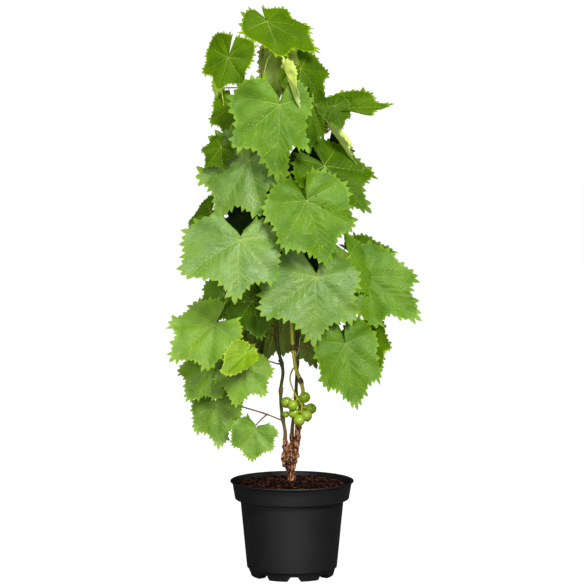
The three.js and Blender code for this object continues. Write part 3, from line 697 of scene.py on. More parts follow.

# A leaf's tint may be painted shade, painted light or painted sheen, as the tints say.
SPRAYS = [
    Spray("crest", Zone.TOP, "left", (-40, -25, 812), [
        Blade(-42, -18, 839, 96, 74, -80, 62, 56, fold=12, sinus=6, droop=0.02, lobe=0.74,
              tint=Tint.FRESH, grow=0.95, slim=1.16, skew=-46, gape=6, shift=(4, 0, 9)),
    ]),
    Spray("peak", Zone.TOP, "right", (-6, -30, 770), [
        Blade(-8, -54, 773, 54, 46, 26, 74, -8, fold=-20, droop=0, tint=Tint.PALE, slim=0.74,
              shift=(0, -43, -2)),
        Blade(13, -18, 778, 60, 80, -60, 75, 35, fold=10, tint=Tint.DEEP),
    ]),
    Spray("upper_left", Zone.TOP, "left", (-66, -20, 748), [
        Blade(-92, -42, 794, 54, 84, -100, 78, -15, fold=10, sinus=5, lobe=1.5, tint=Tint.FRESH,
              slim=0.84, shift=(-4, 0, 0)),
        Blade(-103, -14, 748, 60, 52, -170, 92, -10, fold=-25, tint=Tint.PALE, slim=0.8),
        Blade(-90, -32, 722, 54, 62, -100, 80, -10, tint=Tint.FRESH),
    ]),
    Spray("upper_front", Zone.UPPER, "right", (-14, -34, 706), [
        Blade(-18, -95, 724, 114, 126, -88, 80, -2, fold=7, sinus=30, lop=0.62, grow=0.98, full=-0.09),
    ]),
    Spray("upper_right", Zone.UPPER, "back", (44, -18, 708), [
        Blade(68, -32, 717, 84, 56, -90, 45, 88, fold=-38, droop=0.02, tint=Tint.FRESH, slim=0.66, turn=5),
        Blade(64, -54, 722, 38, 44, -85, 78, 14, fold=10, tint=Tint.DEEP),
        Blade(30, -58, 722, 72, 46, -98, 82, -4, fold=8, tint=Tint.DEEP),
        Blade(46, -48, 702, 86, 50, -36, 60, 24, fold=-40, droop=0, tint=Tint.PALE, slim=0.55),
    ]),
    Spray("middle_left", Zone.UPPER, "left", (-52, -28, 646), [
        Blade(-64, -64, 641, 110, 136, -108, 75, -28, fold=2, tint=Tint.SOFT, full=-0.13),
        Blade(-106, -58, 660, 46, 60, -122, 68, -34, tint=Tint.DEEP, grow=0.85),
    ]),
    Spray("middle_right", Zone.UPPER, "back", (54, -14, 626), [
        Blade(48, -60, 632, 92, 124, -74, 58, 60, fold=5, sinus=20, droop=0.05, tint=Tint.DEEP,
              grow=1.06, slim=0.86, turn=-20, full=-0.05),
        Blade(54, -26, 654, 66, 78, -80, 72, 8, tint=Tint.SHADE),
    ]),
    Spray("middle_front", Zone.MIDDLE, "right", (6, -36, 566), [
        Blade(22, -100, 582, 106, 136, -88, 80, 17, fold=4, sinus=12, gape=7, grow=0.95),
    ]),
    Spray("waist_left", Zone.MIDDLE, "left", (-56, -28, 518), [
        Blade(-78, -104, 522, 104, 160, -88, 66, -5, fold=6, sinus=34, lop=0.7, tint=Tint.SOFT,
              grow=0.93, shift=(1, 0, 2)),
        Blade(-123, -20, 560, 62, 76, -130, 60, -30, tint=Tint.DEEP, grow=0.9),
    ]),
    Spray("waist_front", Zone.WAIST, "right", (10, -36, 460), [
        Blade(32, -88, 471, 112, 164, -90, 76, -2, fold=5, sinus=28, lop=0.8, tint=Tint.SOFT,
              grow=0.91, shift=(4, 0, -4)),
    ]),
    Spray("waist_right", Zone.WAIST, "back", (62, -8, 478), [
        Blade(86, -62, 496, 76, 70, -60, 74, 30, fold=12),
        Blade(112, -50, 465, 112, 116, -85, 74, 50, fold=4, droop=0.05, grow=0.93),
        Blade(100, -25, 503, 88, 90, -72, 62, 68, droop=0.05, tint=Tint.DEEP, grow=0.9, shift=(4, 0, -14)),
    ]),
    Spray("low_left", Zone.LOW, "left", (-60, -24, 396), [
        Blade(-117, -70, 388, 92, 118, -105, 58, -46, droop=0.06, tint=Tint.LIGHT, grow=0.92,
              shift=(0, 0, 5)),
        Blade(-103, -40, 438, 58, 74, -110, 72, -20),
        Blade(-60, -56, 428, 60, 84, -95, 72, 15, tint=Tint.DEEP),
    ]),
    Spray("low_front", Zone.LOW, "left", (-46, -34, 338), [
        Blade(-66, -95, 357, 56, 66, -90, 55, -50, fold=-20, droop=0.05, tint=Tint.YELLOW,
              grow=0.92, slim=0.72, turn=10, lobe=0.62, gape=-14, full=0.22, shift=(-2, 0, -3)),
        Blade(-71, -76, 331, 62, 88, -92, 74, -12, tint=Tint.LIGHT),
        Blade(-114, -50, 329, 72, 90, -105, 68, -35, tint=Tint.LIGHT, grow=0.95, shift=(-4, 0, 2)),
    ]),
    Spray("foot_left", Zone.LOW, "left", (-38, -26, 252), [
        Blade(-115, -42, 270, 72, 86, -100, 80, 5, droop=0.05, tint=Tint.LIGHT, grow=0.94),
        Blade(-60, -80, 236, 49, 70, -92, 76, -4, fold=4, sinus=38, droop=0.05, tint=Tint.LIGHT,
              full=0.02, gape=10, skew=-30, shift=(4, 0, 1)),
    ]),
    Spray("low_right", Zone.LOW, "right", (36, -24, 362), [
        Blade(80, -85, 366, 102, 98, -88, 80, 10, fold=5, sinus=12, droop=0.05, gape=5, grow=0.96),
        Blade(109, -45, 383, 74, 80, -65, 76, 18, fold=12, tint=Tint.FRESH, grow=0.92),
    ]),
    # The two inner sprays hold near-black leaves drawn 1.35 times their size: painted shade, dark sheets
    # that fill the shaded middle of the crown.
    Spray("inner_upper", Zone.MIDDLE, "left", (-40, -30, 586), [
        Blade(-46, -50, 580, 66, 88, -95, 76, 0, tint=Tint.SHADE, grow=1.35),
    ], bearing=-90, extra=2, share=INNER),
    Spray("inner_middle", Zone.MIDDLE, "right", (2, -34, 508), [
        Blade(-14, -52, 506, 60, 80, -88, 76, 5, tint=Tint.SHADE, grow=1.35),
    ], bearing=-80, extra=2, share=INNER),
    Spray("right_top", Zone.UPPER, "back", (64, 4, 690), bearing=10, extra=4),
    Spray("right_upper", Zone.MIDDLE, "back", (60, 6, 606), bearing=0, extra=4),
    Spray("right_middle", Zone.WAIST, "back", (48, 10, 530), bearing=10, extra=4),
    Spray("right_low", Zone.BACK, "back", (40, 24, 380), bearing=10, extra=4, nudges={
        0: (0.95, (-22, 0, 25)),
        1: (0.85, (0, 0, 14)),
    }),
    Spray("left_top", Zone.UPPER, "left", (-64, -2, 690), bearing=170, extra=4),
    Spray("left_middle", Zone.MIDDLE, "left", (-54, 4, 590), bearing=175, extra=4),
    Spray("left_waist", Zone.WAIST, "left", (-50, 4, 484), bearing=175, extra=4),
    Spray("left_low", Zone.BACK, "left", (-44, 10, 380), bearing=165, extra=4, nudges={
        2: (0.9, (12, 0, 14)),
    }),
    Spray("back_top", Zone.BACK, "right", (-4, 4, 754), bearing=60, extra=4),
    Spray("back_waist", Zone.BACK, "back", (16, 50, 470), bearing=90, extra=4),
]


@dataclass
class Growth:
    """Fills the crown: the leaves with a place of their own, then those that the dice find room for."""

    seed: int = 4711
    tries: int = 400
    axis: Pair = (-4, 4)
    fan: float = 75
    below: float = 40
    above: float = 60
    reach: tuple[Pair, ...] = (
        (250, 55), (330, 80), (420, 92), (520, 88), (620, 76), (700, 62), (760, 44), (830, 22),
    )
    midrib: Pair = (64, 104)
    stout: Pair = (1.2, 1.38)
    faces: Pair = (-22, 22)
    tilt: Pair = (60, 80)
    swing: Pair = (-28, 28)
    fold: Pair = (0, 12)
    sinus: Pair = (10, 32)
    blade_gap: float = 3
    limb_gap: float = 4.5
    margin: float = 1.06
    rim: float = 0.02

    def propose(self, spray: Spray, dice: Dice) -> Blade:
        """Return a leaf blade that the dice propose for a spray."""
        bearing = spray.bearing + dice.spread(-self.fan, self.fan)
        height = spray.fork[2] + dice.spread(-self.below, self.above)
        reach = float(along(list(self.reach), height)) * dice.spread(*spray.share)
        length = dice.spread(*self.midrib)
        width = length * dice.spread(*self.stout)
        x = self.axis[0] + reach * math.cos(math.radians(bearing))
        y = self.axis[1] + reach * math.sin(math.radians(bearing))
        limits = (self.faces, self.tilt, self.swing, self.fold, self.sinus)
        faces, tilt, swing, fold, sinus = (dice.spread(*limit) for limit in limits)
        # leaves of the inner sprays take the near-black tint: painted shade for the crown's shaded middle
        tint = Tint.SHADE if spray.share == INNER else Tint.GREEN
        faces += bearing
        return Blade(x, y, height, length, width, faces, tilt, swing, fold=fold, sinus=sinus, tint=tint)

    def on_one_side(self, points: Array, blade: Blade, gap: float) -> bool:
        """Tell whether the points over a blade all lie on the same side of it, `gap` or more away."""
        from_place = points - blade.place
        x = from_place @ blade.mid
        y = from_place @ blade.left
        flat_y = y / blade.slim_at(y)
        reach = np.hypot(x, flat_y) / blade.length
        limit = np.minimum(self.margin, blade.reach_at(np.arctan2(flat_y, x)) * self.margin + self.rim)
        over = reach <= limit
        if not over.any():
            return True
        z = (from_place @ blade.out - blade.height(x, y))[over]
        return bool(z.min() > gap or z.max() < -gap)

    @staticmethod
    def apart(one: Array, other: Array, gap: float) -> bool:
        """Tell whether no point of one line is nearer than `gap` to a point of the other."""
        between = one[:, None, :] - other[None, :, :]
        return bool((between**2).sum(axis=-1).min() > gap * gap)

    def clear(self, leaf: Leaf, placed: list[Leaf], limbs: list[tuple[str, Array]]) -> bool:
        """Tell whether a new leaf keeps clear of the placed ones and of every limb but its own stem."""
        mine = leaf.blade
        for other in placed:
            theirs = other.blade
            if np.linalg.norm(mine.place - theirs.place) >= mine.length + theirs.length:
                continue
            if not (
                self.on_one_side(mine.samples, theirs, self.blade_gap)
                and self.on_one_side(theirs.samples, mine, self.blade_gap)
                and self.on_one_side(leaf.line, theirs, self.limb_gap)
                and self.on_one_side(other.line, mine, self.limb_gap)
            ):
                return False
            if other.spray is not leaf.spray and not self.apart(leaf.line, other.line, self.limb_gap):
                return False
        return all(
            name == leaf.spray.name
            or (self.on_one_side(line, mine, self.limb_gap) and self.apart(leaf.line, line, self.limb_gap))
            for name, line in limbs
        )

    def grow(self) -> list[Leaf]:
        """Return every leaf of the plant."""
        limbs = [("cane_" + cane.name, cane.fine) for cane in CANES.values()]
        limbs += [(spray.name, line_of(spray.stem())) for spray in SPRAYS]
        placed = [Leaf(spray, blade) for spray in SPRAYS for blade in spray.blades]
        dice = Dice(self.seed)
        for spray in SPRAYS:
            wanted = spray.extra
            for _ in range(self.tries if wanted else 0):
                leaf = Leaf(spray, self.propose(spray, dice))
                if self.clear(leaf, placed, limbs):
                    number = spray.extra - wanted
                    leaf.blade.grow, leaf.blade.shift = spray.nudges.get(number, (1, (0, 0, 0)))
                    placed.append(leaf)
                    wanted -= 1
                    if not wanted:
                        break
        return placed


# === Shader wiring and the effects that several finishes share ===

@dataclass
class Wiring:
    """Adds nodes to a tree and joins them."""

    tree: bpy.types.NodeTree

    # A Mix node's sockets when it mixes colours: share, first and second colour, and the result.
    MIX_INPUTS = (0, 6, 7)
    MIX_OUTPUT = 2

    def add(self, kind: str, inputs: dict | None = None, **settings: object) -> Node:
        """Add one node.

        Args:
            kind: The node's type name without its ShaderNode prefix.
            inputs: Socket names or numbers, each with a constant or a socket to join.
            settings: Attributes of the node.

        Returns:
            The new node.
        """
        prefix = "" if kind.startswith("Node") else "ShaderNode"
        node = self.tree.nodes.new(prefix + kind)
        for name, value in settings.items():
            setattr(node, name, value)
        self.feed_all(node, inputs or {})
        return node

    def feed_all(self, node: Node, inputs: dict) -> None:
        """Feed several sockets of a node, by name or number."""
        for name, value in inputs.items():
            self.feed(node.inputs[name], value)

    def feed(self, socket: Socket, value: object) -> None:
        """Join a socket to another, or set its constant."""
        if isinstance(value, Socket):
            self.tree.links.new(value, socket)
        elif isinstance(value, tuple) and socket.type == "RGBA":
            socket.default_value = (*value[:3], 1)
        else:
            socket.default_value = value

    def blend(self, share: object, first: object, second: object) -> Socket:
        """Return the colour that lies `share` of the way from the first to the second."""
        node = self.add("Mix", dict(zip(self.MIX_INPUTS, (share, first, second))), data_type="RGBA")
        return node.outputs[self.MIX_OUTPUT]

    def spread(
        self, value: object, low: float, high: float, to_low: float = 0, to_high: float = 1
    ) -> Socket:
        """Return a value carried from one range to another, and kept inside it."""
        node = self.add("MapRange", {"Value": value, 1: low, 2: high, 3: to_low, 4: to_high})
        return node.outputs["Result"]

    def place(self) -> Socket:
        """Return the places on the surface, in the piece's own axes."""
        return self.add("TexCoord").outputs["Object"]

    def noise(self, place: Socket, scale: object, detail: float) -> Socket:
        """Return a soft noise at the places."""
        return self.add("TexNoise", {"Vector": place, "Scale": scale, "Detail": detail}).outputs[0]

    def sum(self, first: object, second: object) -> Socket:
        """Return the sum of two values."""
        return self.add("Math", {0: first, 1: second}, operation="ADD").outputs[0]

    def product(self, first: object, second: object) -> Socket:
        """Return the product of two values."""
        return self.add("Math", {0: first, 1: second}, operation="MULTIPLY").outputs[0]


def cleared(owner: bpy.types.Material | bpy.types.World) -> Wiring:
    """Return the wiring of a material or world, with no nodes in it yet."""
    owner.use_nodes = True
    owner.node_tree.nodes.clear()
    return Wiring(owner.node_tree)


@dataclass(frozen=True)
class Effect:
    """A shader node group with named inputs and outputs, built once."""

    name: str
    inputs: tuple[Named, ...]
    outputs: tuple[str, ...]

    def wire(self, wiring: Wiring, given: Sockets) -> Sockets:
        """Build the group's inside and return a socket for each output."""
        raise NotImplementedError

    def group(self) -> bpy.types.NodeTree:
        """Return the node group, made on the first call."""
        known = bpy.data.node_groups.get(self.name)
        if known:
            return known
        tree = bpy.data.node_groups.new(self.name, "ShaderNodeTree")
        for name, value in self.inputs:
            socket = tree.interface.new_socket(name, in_out="INPUT", socket_type="NodeSocketFloat")
            socket.default_value = value
        for name in self.outputs:
            tree.interface.new_socket(name, in_out="OUTPUT", socket_type="NodeSocketFloat")
        wiring = Wiring(tree)
        given = wiring.add("NodeGroupInput")
        result = wiring.add("NodeGroupOutput")
        made = self.wire(wiring, {name: given.outputs[name] for name, _ in self.inputs})
        for name, socket in made.items():
            wiring.feed(result.inputs[name], socket)
        return tree

    def place(self, wiring: Wiring, **values: object) -> Sockets:
        """Put the group in a material and return its outputs by name."""
        node = wiring.add("Group", node_tree=self.group())
        for name, value in values.items():
            wiring.feed(node.inputs[name], value)
        return {name: node.outputs[name] for name in self.outputs}


MOTTLE_RANGE = (0.35, 0.65)


@dataclass(frozen=True)
class LeafSkin(Effect):
    """The fine net of veinlets between a leaf's veins, and its uneven colour."""

    VEINLET_WIDTH = 0.35
    FINE_SHARE = 0.8
    BROAD_SHARE = 0.45
    BROAD_RANGE = (0.4, 0.62)

    def wire(self, wiring: Wiring, given: Sockets) -> Sockets:
        """Cells whose edges sink, with broad soft patches over them."""
        place = wiring.place()
        cells = wiring.add(
            "TexVoronoi", {"Vector": place, "Scale": given["Cell"]}, feature="DISTANCE_TO_EDGE"
        )
        net = wiring.spread(cells.outputs["Distance"], 0, self.VEINLET_WIDTH)
        soft = wiring.noise(place, given["Patch"], 6.0)
        fine = wiring.noise(place, given["Cell"], 2.0)
        broad = wiring.noise(place, wiring.product(given["Patch"], self.BROAD_SHARE), 1.0)
        return {
            "Height": wiring.sum(net, wiring.product(fine, self.FINE_SHARE)),
            "Mottle": wiring.spread(soft, *MOTTLE_RANGE),
            "Broad": wiring.spread(broad, *self.BROAD_RANGE),
        }


@dataclass(frozen=True)
class Fibre(Effect):
    """Long fibres that run up a stem."""

    BROAD = 60.0

    def wire(self, wiring: Wiring, given: Sockets) -> Sockets:
        """Noise drawn out along the upright axis."""
        place = wiring.place()
        scale = wiring.add("CombineXYZ", {0: 1.0, 1: 1.0, 2: given["Stretch"]}).outputs[0]
        drawn = wiring.add("VectorMath", {0: place, 1: scale}, operation="MULTIPLY").outputs[0]
        broad = wiring.noise(place, self.BROAD, 3.0)
        return {
            "Height": wiring.noise(drawn, given["Scale"], 4.0),
            "Mottle": wiring.spread(broad, *MOTTLE_RANGE),
        }


@dataclass(frozen=True)
class Grain(Effect):
    """An even fine grain with broad soft patches, for moulded and crumbly surfaces."""

    def wire(self, wiring: Wiring, given: Sockets) -> Sockets:
        """Two noises of different sizes."""
        place = wiring.place()
        return {
            "Height": wiring.noise(place, given["Fine"], 2.0),
            "Mottle": wiring.spread(wiring.noise(place, given["Broad"], 3.0), *MOTTLE_RANGE),
        }


LEAF_SKIN = LeafSkin("leaf_skin", (("Cell", 260.0), ("Patch", 45.0)), ("Height", "Mottle", "Broad"))
FIBRE = Fibre("fibre", (("Scale", 900.0), ("Stretch", 0.08)), ("Height", "Mottle"))
GRAIN = Grain("grain", (("Fine", 1500.0), ("Broad", 25.0)), ("Height", "Mottle"))


@dataclass(frozen=True)
class Finish:
    """What every finish has in common: its colour, and the one of the patches in it."""

    name: str
    colour: Colour
    patch: Colour

    def surface(self, wiring: Wiring, shader: Node) -> None:
        """Dress the shader."""
        raise NotImplementedError

    def material(self) -> bpy.types.Material:
        """Return the material, made on the first call."""
        known = bpy.data.materials.get(self.name)
        if known:
            return known
        made = bpy.data.materials.new(self.name)
        wiring = cleared(made)
        shader = wiring.add("BsdfPrincipled")
        wiring.add("OutputMaterial", {"Surface": shader.outputs[0]})
        self.surface(wiring, shader)
        made.diffuse_color = (*self.colour, 1)
        return made

    @staticmethod
    def bump(wiring: Wiring, shader: Node, height: Socket, strength: float, depth: float) -> None:
        """Join a relief to the shader's normal, `depth` millimetres deep."""
        node = wiring.add("Bump", {"Height": height, "Strength": strength, "Distance": depth * MM})
        wiring.feed(shader.inputs["Normal"], node.outputs[0])


@dataclass(frozen=True)
class LeafFinish(Finish):
    """A leaf's skin: the patches in its green, and how it shines."""

    patches: float = 0.7
    warmth: float = 1.12
    roughness: float = 0.42
    specular: float = 0.22
    relief: float = 0.5
    depth: float = 0.6
    cell: float = 260.0

    WARM_SHARE = 0.6
    WARM_BLUE = 0.5
    ROUGHER = 0.1

    def surface(self, wiring: Wiring, shader: Node) -> None:
        """Patches and veinlets over the leaf's own green."""
        skin = LEAF_SKIN.place(wiring, Cell=self.cell)
        patched = wiring.blend(wiring.product(skin["Mottle"], self.patches), self.colour, self.patch)
        red, green, blue = self.colour
        warm = (red * self.warmth, green * self.warmth, blue * self.WARM_BLUE)
        rough = wiring.spread(skin["Mottle"], 0, 1, self.roughness, self.roughness + self.ROUGHER)
        wiring.feed_all(shader, {
            "Base Color": wiring.blend(wiring.product(skin["Broad"], self.WARM_SHARE), patched, warm),
            "Roughness": rough,
            "Specular IOR Level": self.specular,
        })
        self.bump(wiring, shader, skin["Height"], self.relief, self.depth)


@dataclass(frozen=True)
class StemFinish(Finish):
    """The skin of a cane, stalk or bark, with fibres along it."""

    roughness: float = 0.5
    relief: float = 0.4
    depth: float = 0.2
    scale: float = 900.0

    ROUGHER = 0.2
    FIBRE_RANGE = (0.3, 0.7)

    def surface(self, wiring: Wiring, shader: Node) -> None:
        """Fibres in the relief and patches in the colour."""
        fibre = FIBRE.place(wiring, Scale=self.scale)
        share = wiring.product(wiring.sum(fibre["Mottle"], fibre["Height"]), 0.5)
        roughest = self.roughness + self.ROUGHER
        wiring.feed_all(shader, {
            "Base Color": wiring.blend(share, self.colour, self.patch),
            "Roughness": wiring.spread(fibre["Height"], *self.FIBRE_RANGE, self.roughness, roughest),
        })
        self.bump(wiring, shader, fibre["Height"], self.relief, self.depth)


@dataclass(frozen=True)
class GrainFinish(Finish):
    """A grained finish: moulded plastic or soil."""

    patches: float = 0.5
    roughness: float = 0.5
    relief: float = 0.2
    depth: float = 0.1
    fine: float = 1500.0
    broad: float = 25.0
    specular: float = 0.5

    ROUGHER = 0.08

    def surface(self, wiring: Wiring, shader: Node) -> None:
        """Fine grain in the relief, broad patches in colour and roughness."""
        grain = GRAIN.place(wiring, Fine=self.fine, Broad=self.broad)
        share = wiring.product(grain["Mottle"], self.patches)
        rough = wiring.spread(grain["Mottle"], 0, 1, self.roughness, self.roughness + self.ROUGHER)
        wiring.feed_all(shader, {
            "Base Color": wiring.blend(share, self.colour, self.patch),
            "Roughness": rough,
            "Specular IOR Level": self.specular,
        })
        self.bump(wiring, shader, grain["Height"], self.relief, self.depth)


# Upper sides by tint. Painted shade: the near-black and the deep greens. Painted light: the light and the
# pale greens. Partly painted sheen: the soft grey-green.
UPPER_SIDES = {
    Tint.SHADE: LeafFinish("leaf_painted_shade", srgb(17, 34, 1), srgb(9, 22, 1), specular=0.04),
    Tint.DEEP: LeafFinish("leaf_deep_painted_shade", srgb(67, 98, 2), srgb(42, 74, 1), specular=0.07),
    Tint.GREEN: LeafFinish("leaf_green", srgb(92, 130, 24), srgb(62, 102, 8)),
    Tint.SOFT: LeafFinish("leaf_soft_painted_sheen", srgb(104, 138, 60), srgb(78, 120, 18), patches=0.8, specular=0.5),
    Tint.PALE: LeafFinish("leaf_pale_painted_light", srgb(196, 212, 122), srgb(176, 198, 94), roughness=0.6),
    Tint.FRESH: LeafFinish("leaf_fresh", srgb(77, 109, 1), srgb(52, 84, 1), specular=0.05),
    Tint.YELLOW: LeafFinish("leaf_yellow", srgb(124, 156, 26), srgb(90, 128, 8), patches=0.9),
    Tint.LIGHT: LeafFinish("leaf_painted_light", srgb(120, 157, 56), srgb(86, 126, 18), patches=0.85, specular=0.3),
}
# Each tint's rim, a little lighter and yellower: partly the edge's own colour, partly painted light for the
# glow of the thin edge.
MARGINS = {
    Tint.SHADE: LeafFinish("margin_painted_shade", srgb(26, 46, 4), srgb(16, 32, 2), specular=0.1),
    Tint.DEEP: LeafFinish("margin_deep_painted_shade", srgb(84, 115, 9), srgb(60, 94, 5), specular=0.12),
    Tint.GREEN: LeafFinish("margin_green", srgb(106, 143, 28), srgb(82, 122, 16)),
    Tint.SOFT: LeafFinish("margin_soft_painted_sheen", srgb(116, 149, 50), srgb(94, 132, 30)),
    Tint.PALE: LeafFinish("margin_pale_painted_light", srgb(204, 218, 130), srgb(186, 206, 104), roughness=0.6),
    Tint.FRESH: LeafFinish("margin_fresh", srgb(116, 144, 10), srgb(90, 124, 6), specular=0.12),
    Tint.YELLOW: LeafFinish("margin_yellow", srgb(160, 182, 56), srgb(136, 164, 36)),
    Tint.LIGHT: LeafFinish("margin_painted_light", srgb(130, 164, 46), srgb(106, 144, 28)),
}
UNDERSIDE = LeafFinish("leaf_underside", srgb(150, 172, 84), srgb(132, 158, 66), roughness=0.7, relief=0.35)
VEIN = LeafFinish("leaf_vein", srgb(178, 190, 96), srgb(164, 178, 84), roughness=0.5, relief=0.1)
# dark veins for the near-black leaves: painted shade, so that pale veins do not break their shade
VEIN_PAINTED_SHADE = LeafFinish("leaf_vein_painted_shade", srgb(44, 60, 12), srgb(32, 48, 6), roughness=0.5, relief=0.1)
VEIN_FINE = LeafFinish("leaf_veinlet", srgb(134, 164, 60), srgb(118, 150, 48), roughness=0.5, relief=0.1)


# === Leaves ===

Vein = tuple[Array, float, float, bool]


class LeafPart(Enum):
    """The faces of a leaf, by what dresses them."""

    UPPER = 0
    MARGIN = 1
    UNDER = 2
    VEIN = 3
    VEINLET = 4


@dataclass
class LeafForm:
    """The full form of one leaf: toothed outline, quilted face and raised veins.

    The outline is worked out in shares of the midrib, with x along the midrib and y to its left.
    """

    blade: Blade
    seed: int
    base: float = 0.965
    blunt: float = 0.97
    filled: float = 1.04
    tooth_pitch: float = 0.096
    tooth_depth: float = 0.053
    tooth_swing: float = 0.4
    lobe_tooth: float = 1.5
    tip_tooth: float = 1.9
    thickness: float = 0.5
    quilt: float = 4.6
    quilt_width: float = 11.0
    small_quilt: float = 1.9
    small_quilt_width: float = 3.4
    wave: float = 0.035
    lobe_droop: float = 0.04
    twist: float = 0.14
    sinus_play: Pair = (-0.05, 0.1)
    lobe_play: Pair = (-0.05, 0.03)
    vein: Pair = (1.0, 0.26)
    veinlet: Pair = (0.5, 0.2)

    # The midrib that quilt and veins are given for, and how many waves the rim has.
    SIZE = 100
    WAVES = (3, 7)
    # The outline: its bays and lobe tips are counted among the corners of half an outline.
    STEP_UP = 1e-7
    BAYS = (1, 2, 4)
    LOBE_TIPS = (3, 5)
    LINE_POINTS = 260
    EDGE_STEP = 0.01
    SQUARE_OUT, STRAIGHT_OUT = 0.65, 0.35
    TIP_PLAY = 0.16
    TOOTH_PLAY = (0.7, 1.3)
    NOTCH_PLAY = 0.08
    NOTCH_PUSH = -0.05
    RISING_FLANK, FALLING_FLANK = 0.5, 0.45
    SINUS_STOPS = (0.3, 0.62)
    FINE_RINGS = (0.87, 0.93, 0.975)
    MIDDLE_RINGS = tuple(np.linspace(0.28, 0.82, 15))
    COARSE_RINGS = (0.0, 0.05, 0.12, 0.2)
    # Veins: bearing and reach of each main one, then how branches leave it and where they end.
    MAIN_VEINS = ((0, 0.9), (48, 0.88), (-48, 0.88), (101, 0.86), (-101, 0.86), (146, 0.8), (-146, 0.8))
    VEIN_POINTS = 25
    VEIN_BEND = 5
    SINUS_SHARE = 0.9
    CLEAR_OF_SINUS = 8
    BASAL_FROM = 120
    BASAL_WIDTH = 0.75
    BRANCH_SHARES = (0.16, 0.29, 0.42, 0.54, 0.66, 0.77, 0.87)
    BRANCH_PLAY = 0.02
    BRANCH_OFFSET = 0.035
    BRANCH_STEP = 0.025
    BRANCH_STEPS = 40
    BRANCH_TURNS = (50, 30.0, 0.8)
    BRANCH_END = 0.92
    BETWEEN_VEINS = (-123.0, -74.0, -24.0, 24.0, 74.0, 123.0)
    MAIN_EVERY = 4
    # Relief: quilting fades toward the junction, and veins are ridges of a rise and a sink.
    CALM_RISE = 4
    LEAST_EDGE = 0.05
    DROOP_LIMIT = 1.1
    TWIST_MIDDLE = 0.3
    RIDGES = ((0.46, -0.12), (-0.75, 0.1))
    VEINLET_RISE = 0.75

    def __post_init__(self) -> None:
        """Work out the outline, the veins and the grid of the upper side."""
        self.size = self.blade.length / self.SIZE
        self.dice = np.random.default_rng(self.seed)
        self.wave_turns = self.dice.integers(*self.WAVES)
        self.wave_phase = self.dice.uniform(0, 2 * math.pi)
        self.twists = self.dice.uniform(-self.twist, self.twist, 3)
        self.plain, self.toothed = self.outline()
        self.bearings = self.rising(np.arctan2(self.plain[:, 1], self.plain[:, 0]))
        self.veins = self.lay_veins()
        self.shares = np.array([*self.COARSE_RINGS, *self.MIDDLE_RINGS, *self.FINE_RINGS])
        self.grid = self.raise_grid()

    @staticmethod
    def rising(angles: Array) -> Array:
        """Return the bearings with the first at minus half a turn, each a little over the last."""
        angles = angles.copy()
        angles[0] = -math.pi
        return np.maximum.accumulate(angles) + np.arange(len(angles)) * LeafForm.STEP_UP

    def play(self, corner: int) -> float:
        """Return how far a corner of the half outline is drawn in or out: bays more than lobes."""
        if corner in self.BAYS:
            return self.filled + self.blade.full + self.dice.uniform(*self.sinus_play)
        return 1 + self.dice.uniform(*self.lobe_play)

    def teeth(self, marks: list[float]) -> tuple[list[float], list[float]]:
        """Return where teeth stand along the edge, from lobe tip to lobe tip, and how big each is."""
        tips, sizes = [0.0], [self.tip_tooth]
        for start, end in zip(marks[:-1], marks[1:]):
            count = max(2, round((end - start) / self.tooth_pitch))
            steps = np.arange(1, count + 1) / count
            jitter = self.dice.uniform(-self.TIP_PLAY, self.TIP_PLAY, count) / count
            tips.extend(start + (end - start) * (steps + np.where(steps < 1, jitter, 0)))
            swings = 1 + self.tooth_swing * (-1.0) ** np.arange(count)
            swell = mix(1, self.lobe_tooth, np.abs(2 * steps - 1) ** 3)
            sizes.extend(swell * swings * self.dice.uniform(*self.TOOTH_PLAY, count))
        return tips, sizes

    def half_outline(self) -> tuple[Array, Array]:
        """Return the +y half of the outline, from the tip to the basal lobe.

        Returns:
            The plain points and the toothed points, with a tooth's notch, flanks and tip each a point.
        """
        keys = self.blade.half_keys(self.blade.gape)
        played = [(angle, reach * self.play(k)) for k, (angle, reach) in enumerate(keys)]
        keys = [(0.0, self.blunt), *played[1:]]
        corners = [(reach * math.cos(angle), reach * math.sin(angle), 0.0) for angle, reach in keys]
        mirrored = (corners[1][0], -corners[1][1], 0.0)
        line = SmoothPath([mirrored, *corners]).points_at(even_shares(self.LINE_POINTS))
        line = line[:, :2] * self.base
        line = line[np.argmax(line[:, 1] >= 0):]
        lengths = lengths_along(line)
        marks = [0.0]
        for corner in (*self.LOBE_TIPS, len(keys) - 1):
            gaps = np.hypot(*(line - np.array(corners[corner][:2]) * self.base).T)
            marks.append(float(lengths[np.argmin(gaps)]))
        tips, sizes = self.teeth(marks)
        at, push = [0.0], [self.tip_tooth]
        for low, high, first, second in zip(tips[:-1], tips[1:], sizes[:-1], sizes[1:]):
            notch = mix(low, high, 0.5 + self.dice.uniform(-self.NOTCH_PLAY, self.NOTCH_PLAY))
            at += [mix(low, notch, self.RISING_FLANK), notch, mix(notch, high, self.FALLING_FLANK), high]
            push += [first / 2, self.NOTCH_PUSH, second / 2, second]
        plain, ahead, behind = (
            np.column_stack([np.interp(np.array(at) + step, lengths, line[:, k]) for k in (0, 1)])
            for step in (0, self.EDGE_STEP, -self.EDGE_STEP)
        )
        tangent = unit(ahead - behind)
        normal = np.column_stack([tangent[:, 1], -tangent[:, 0]])
        outward = unit(self.SQUARE_OUT * normal + self.STRAIGHT_OUT * unit(plain))
        outward[0] = (1, 0)
        return plain, plain + outward * (np.array(push) * self.tooth_depth)[:, None]

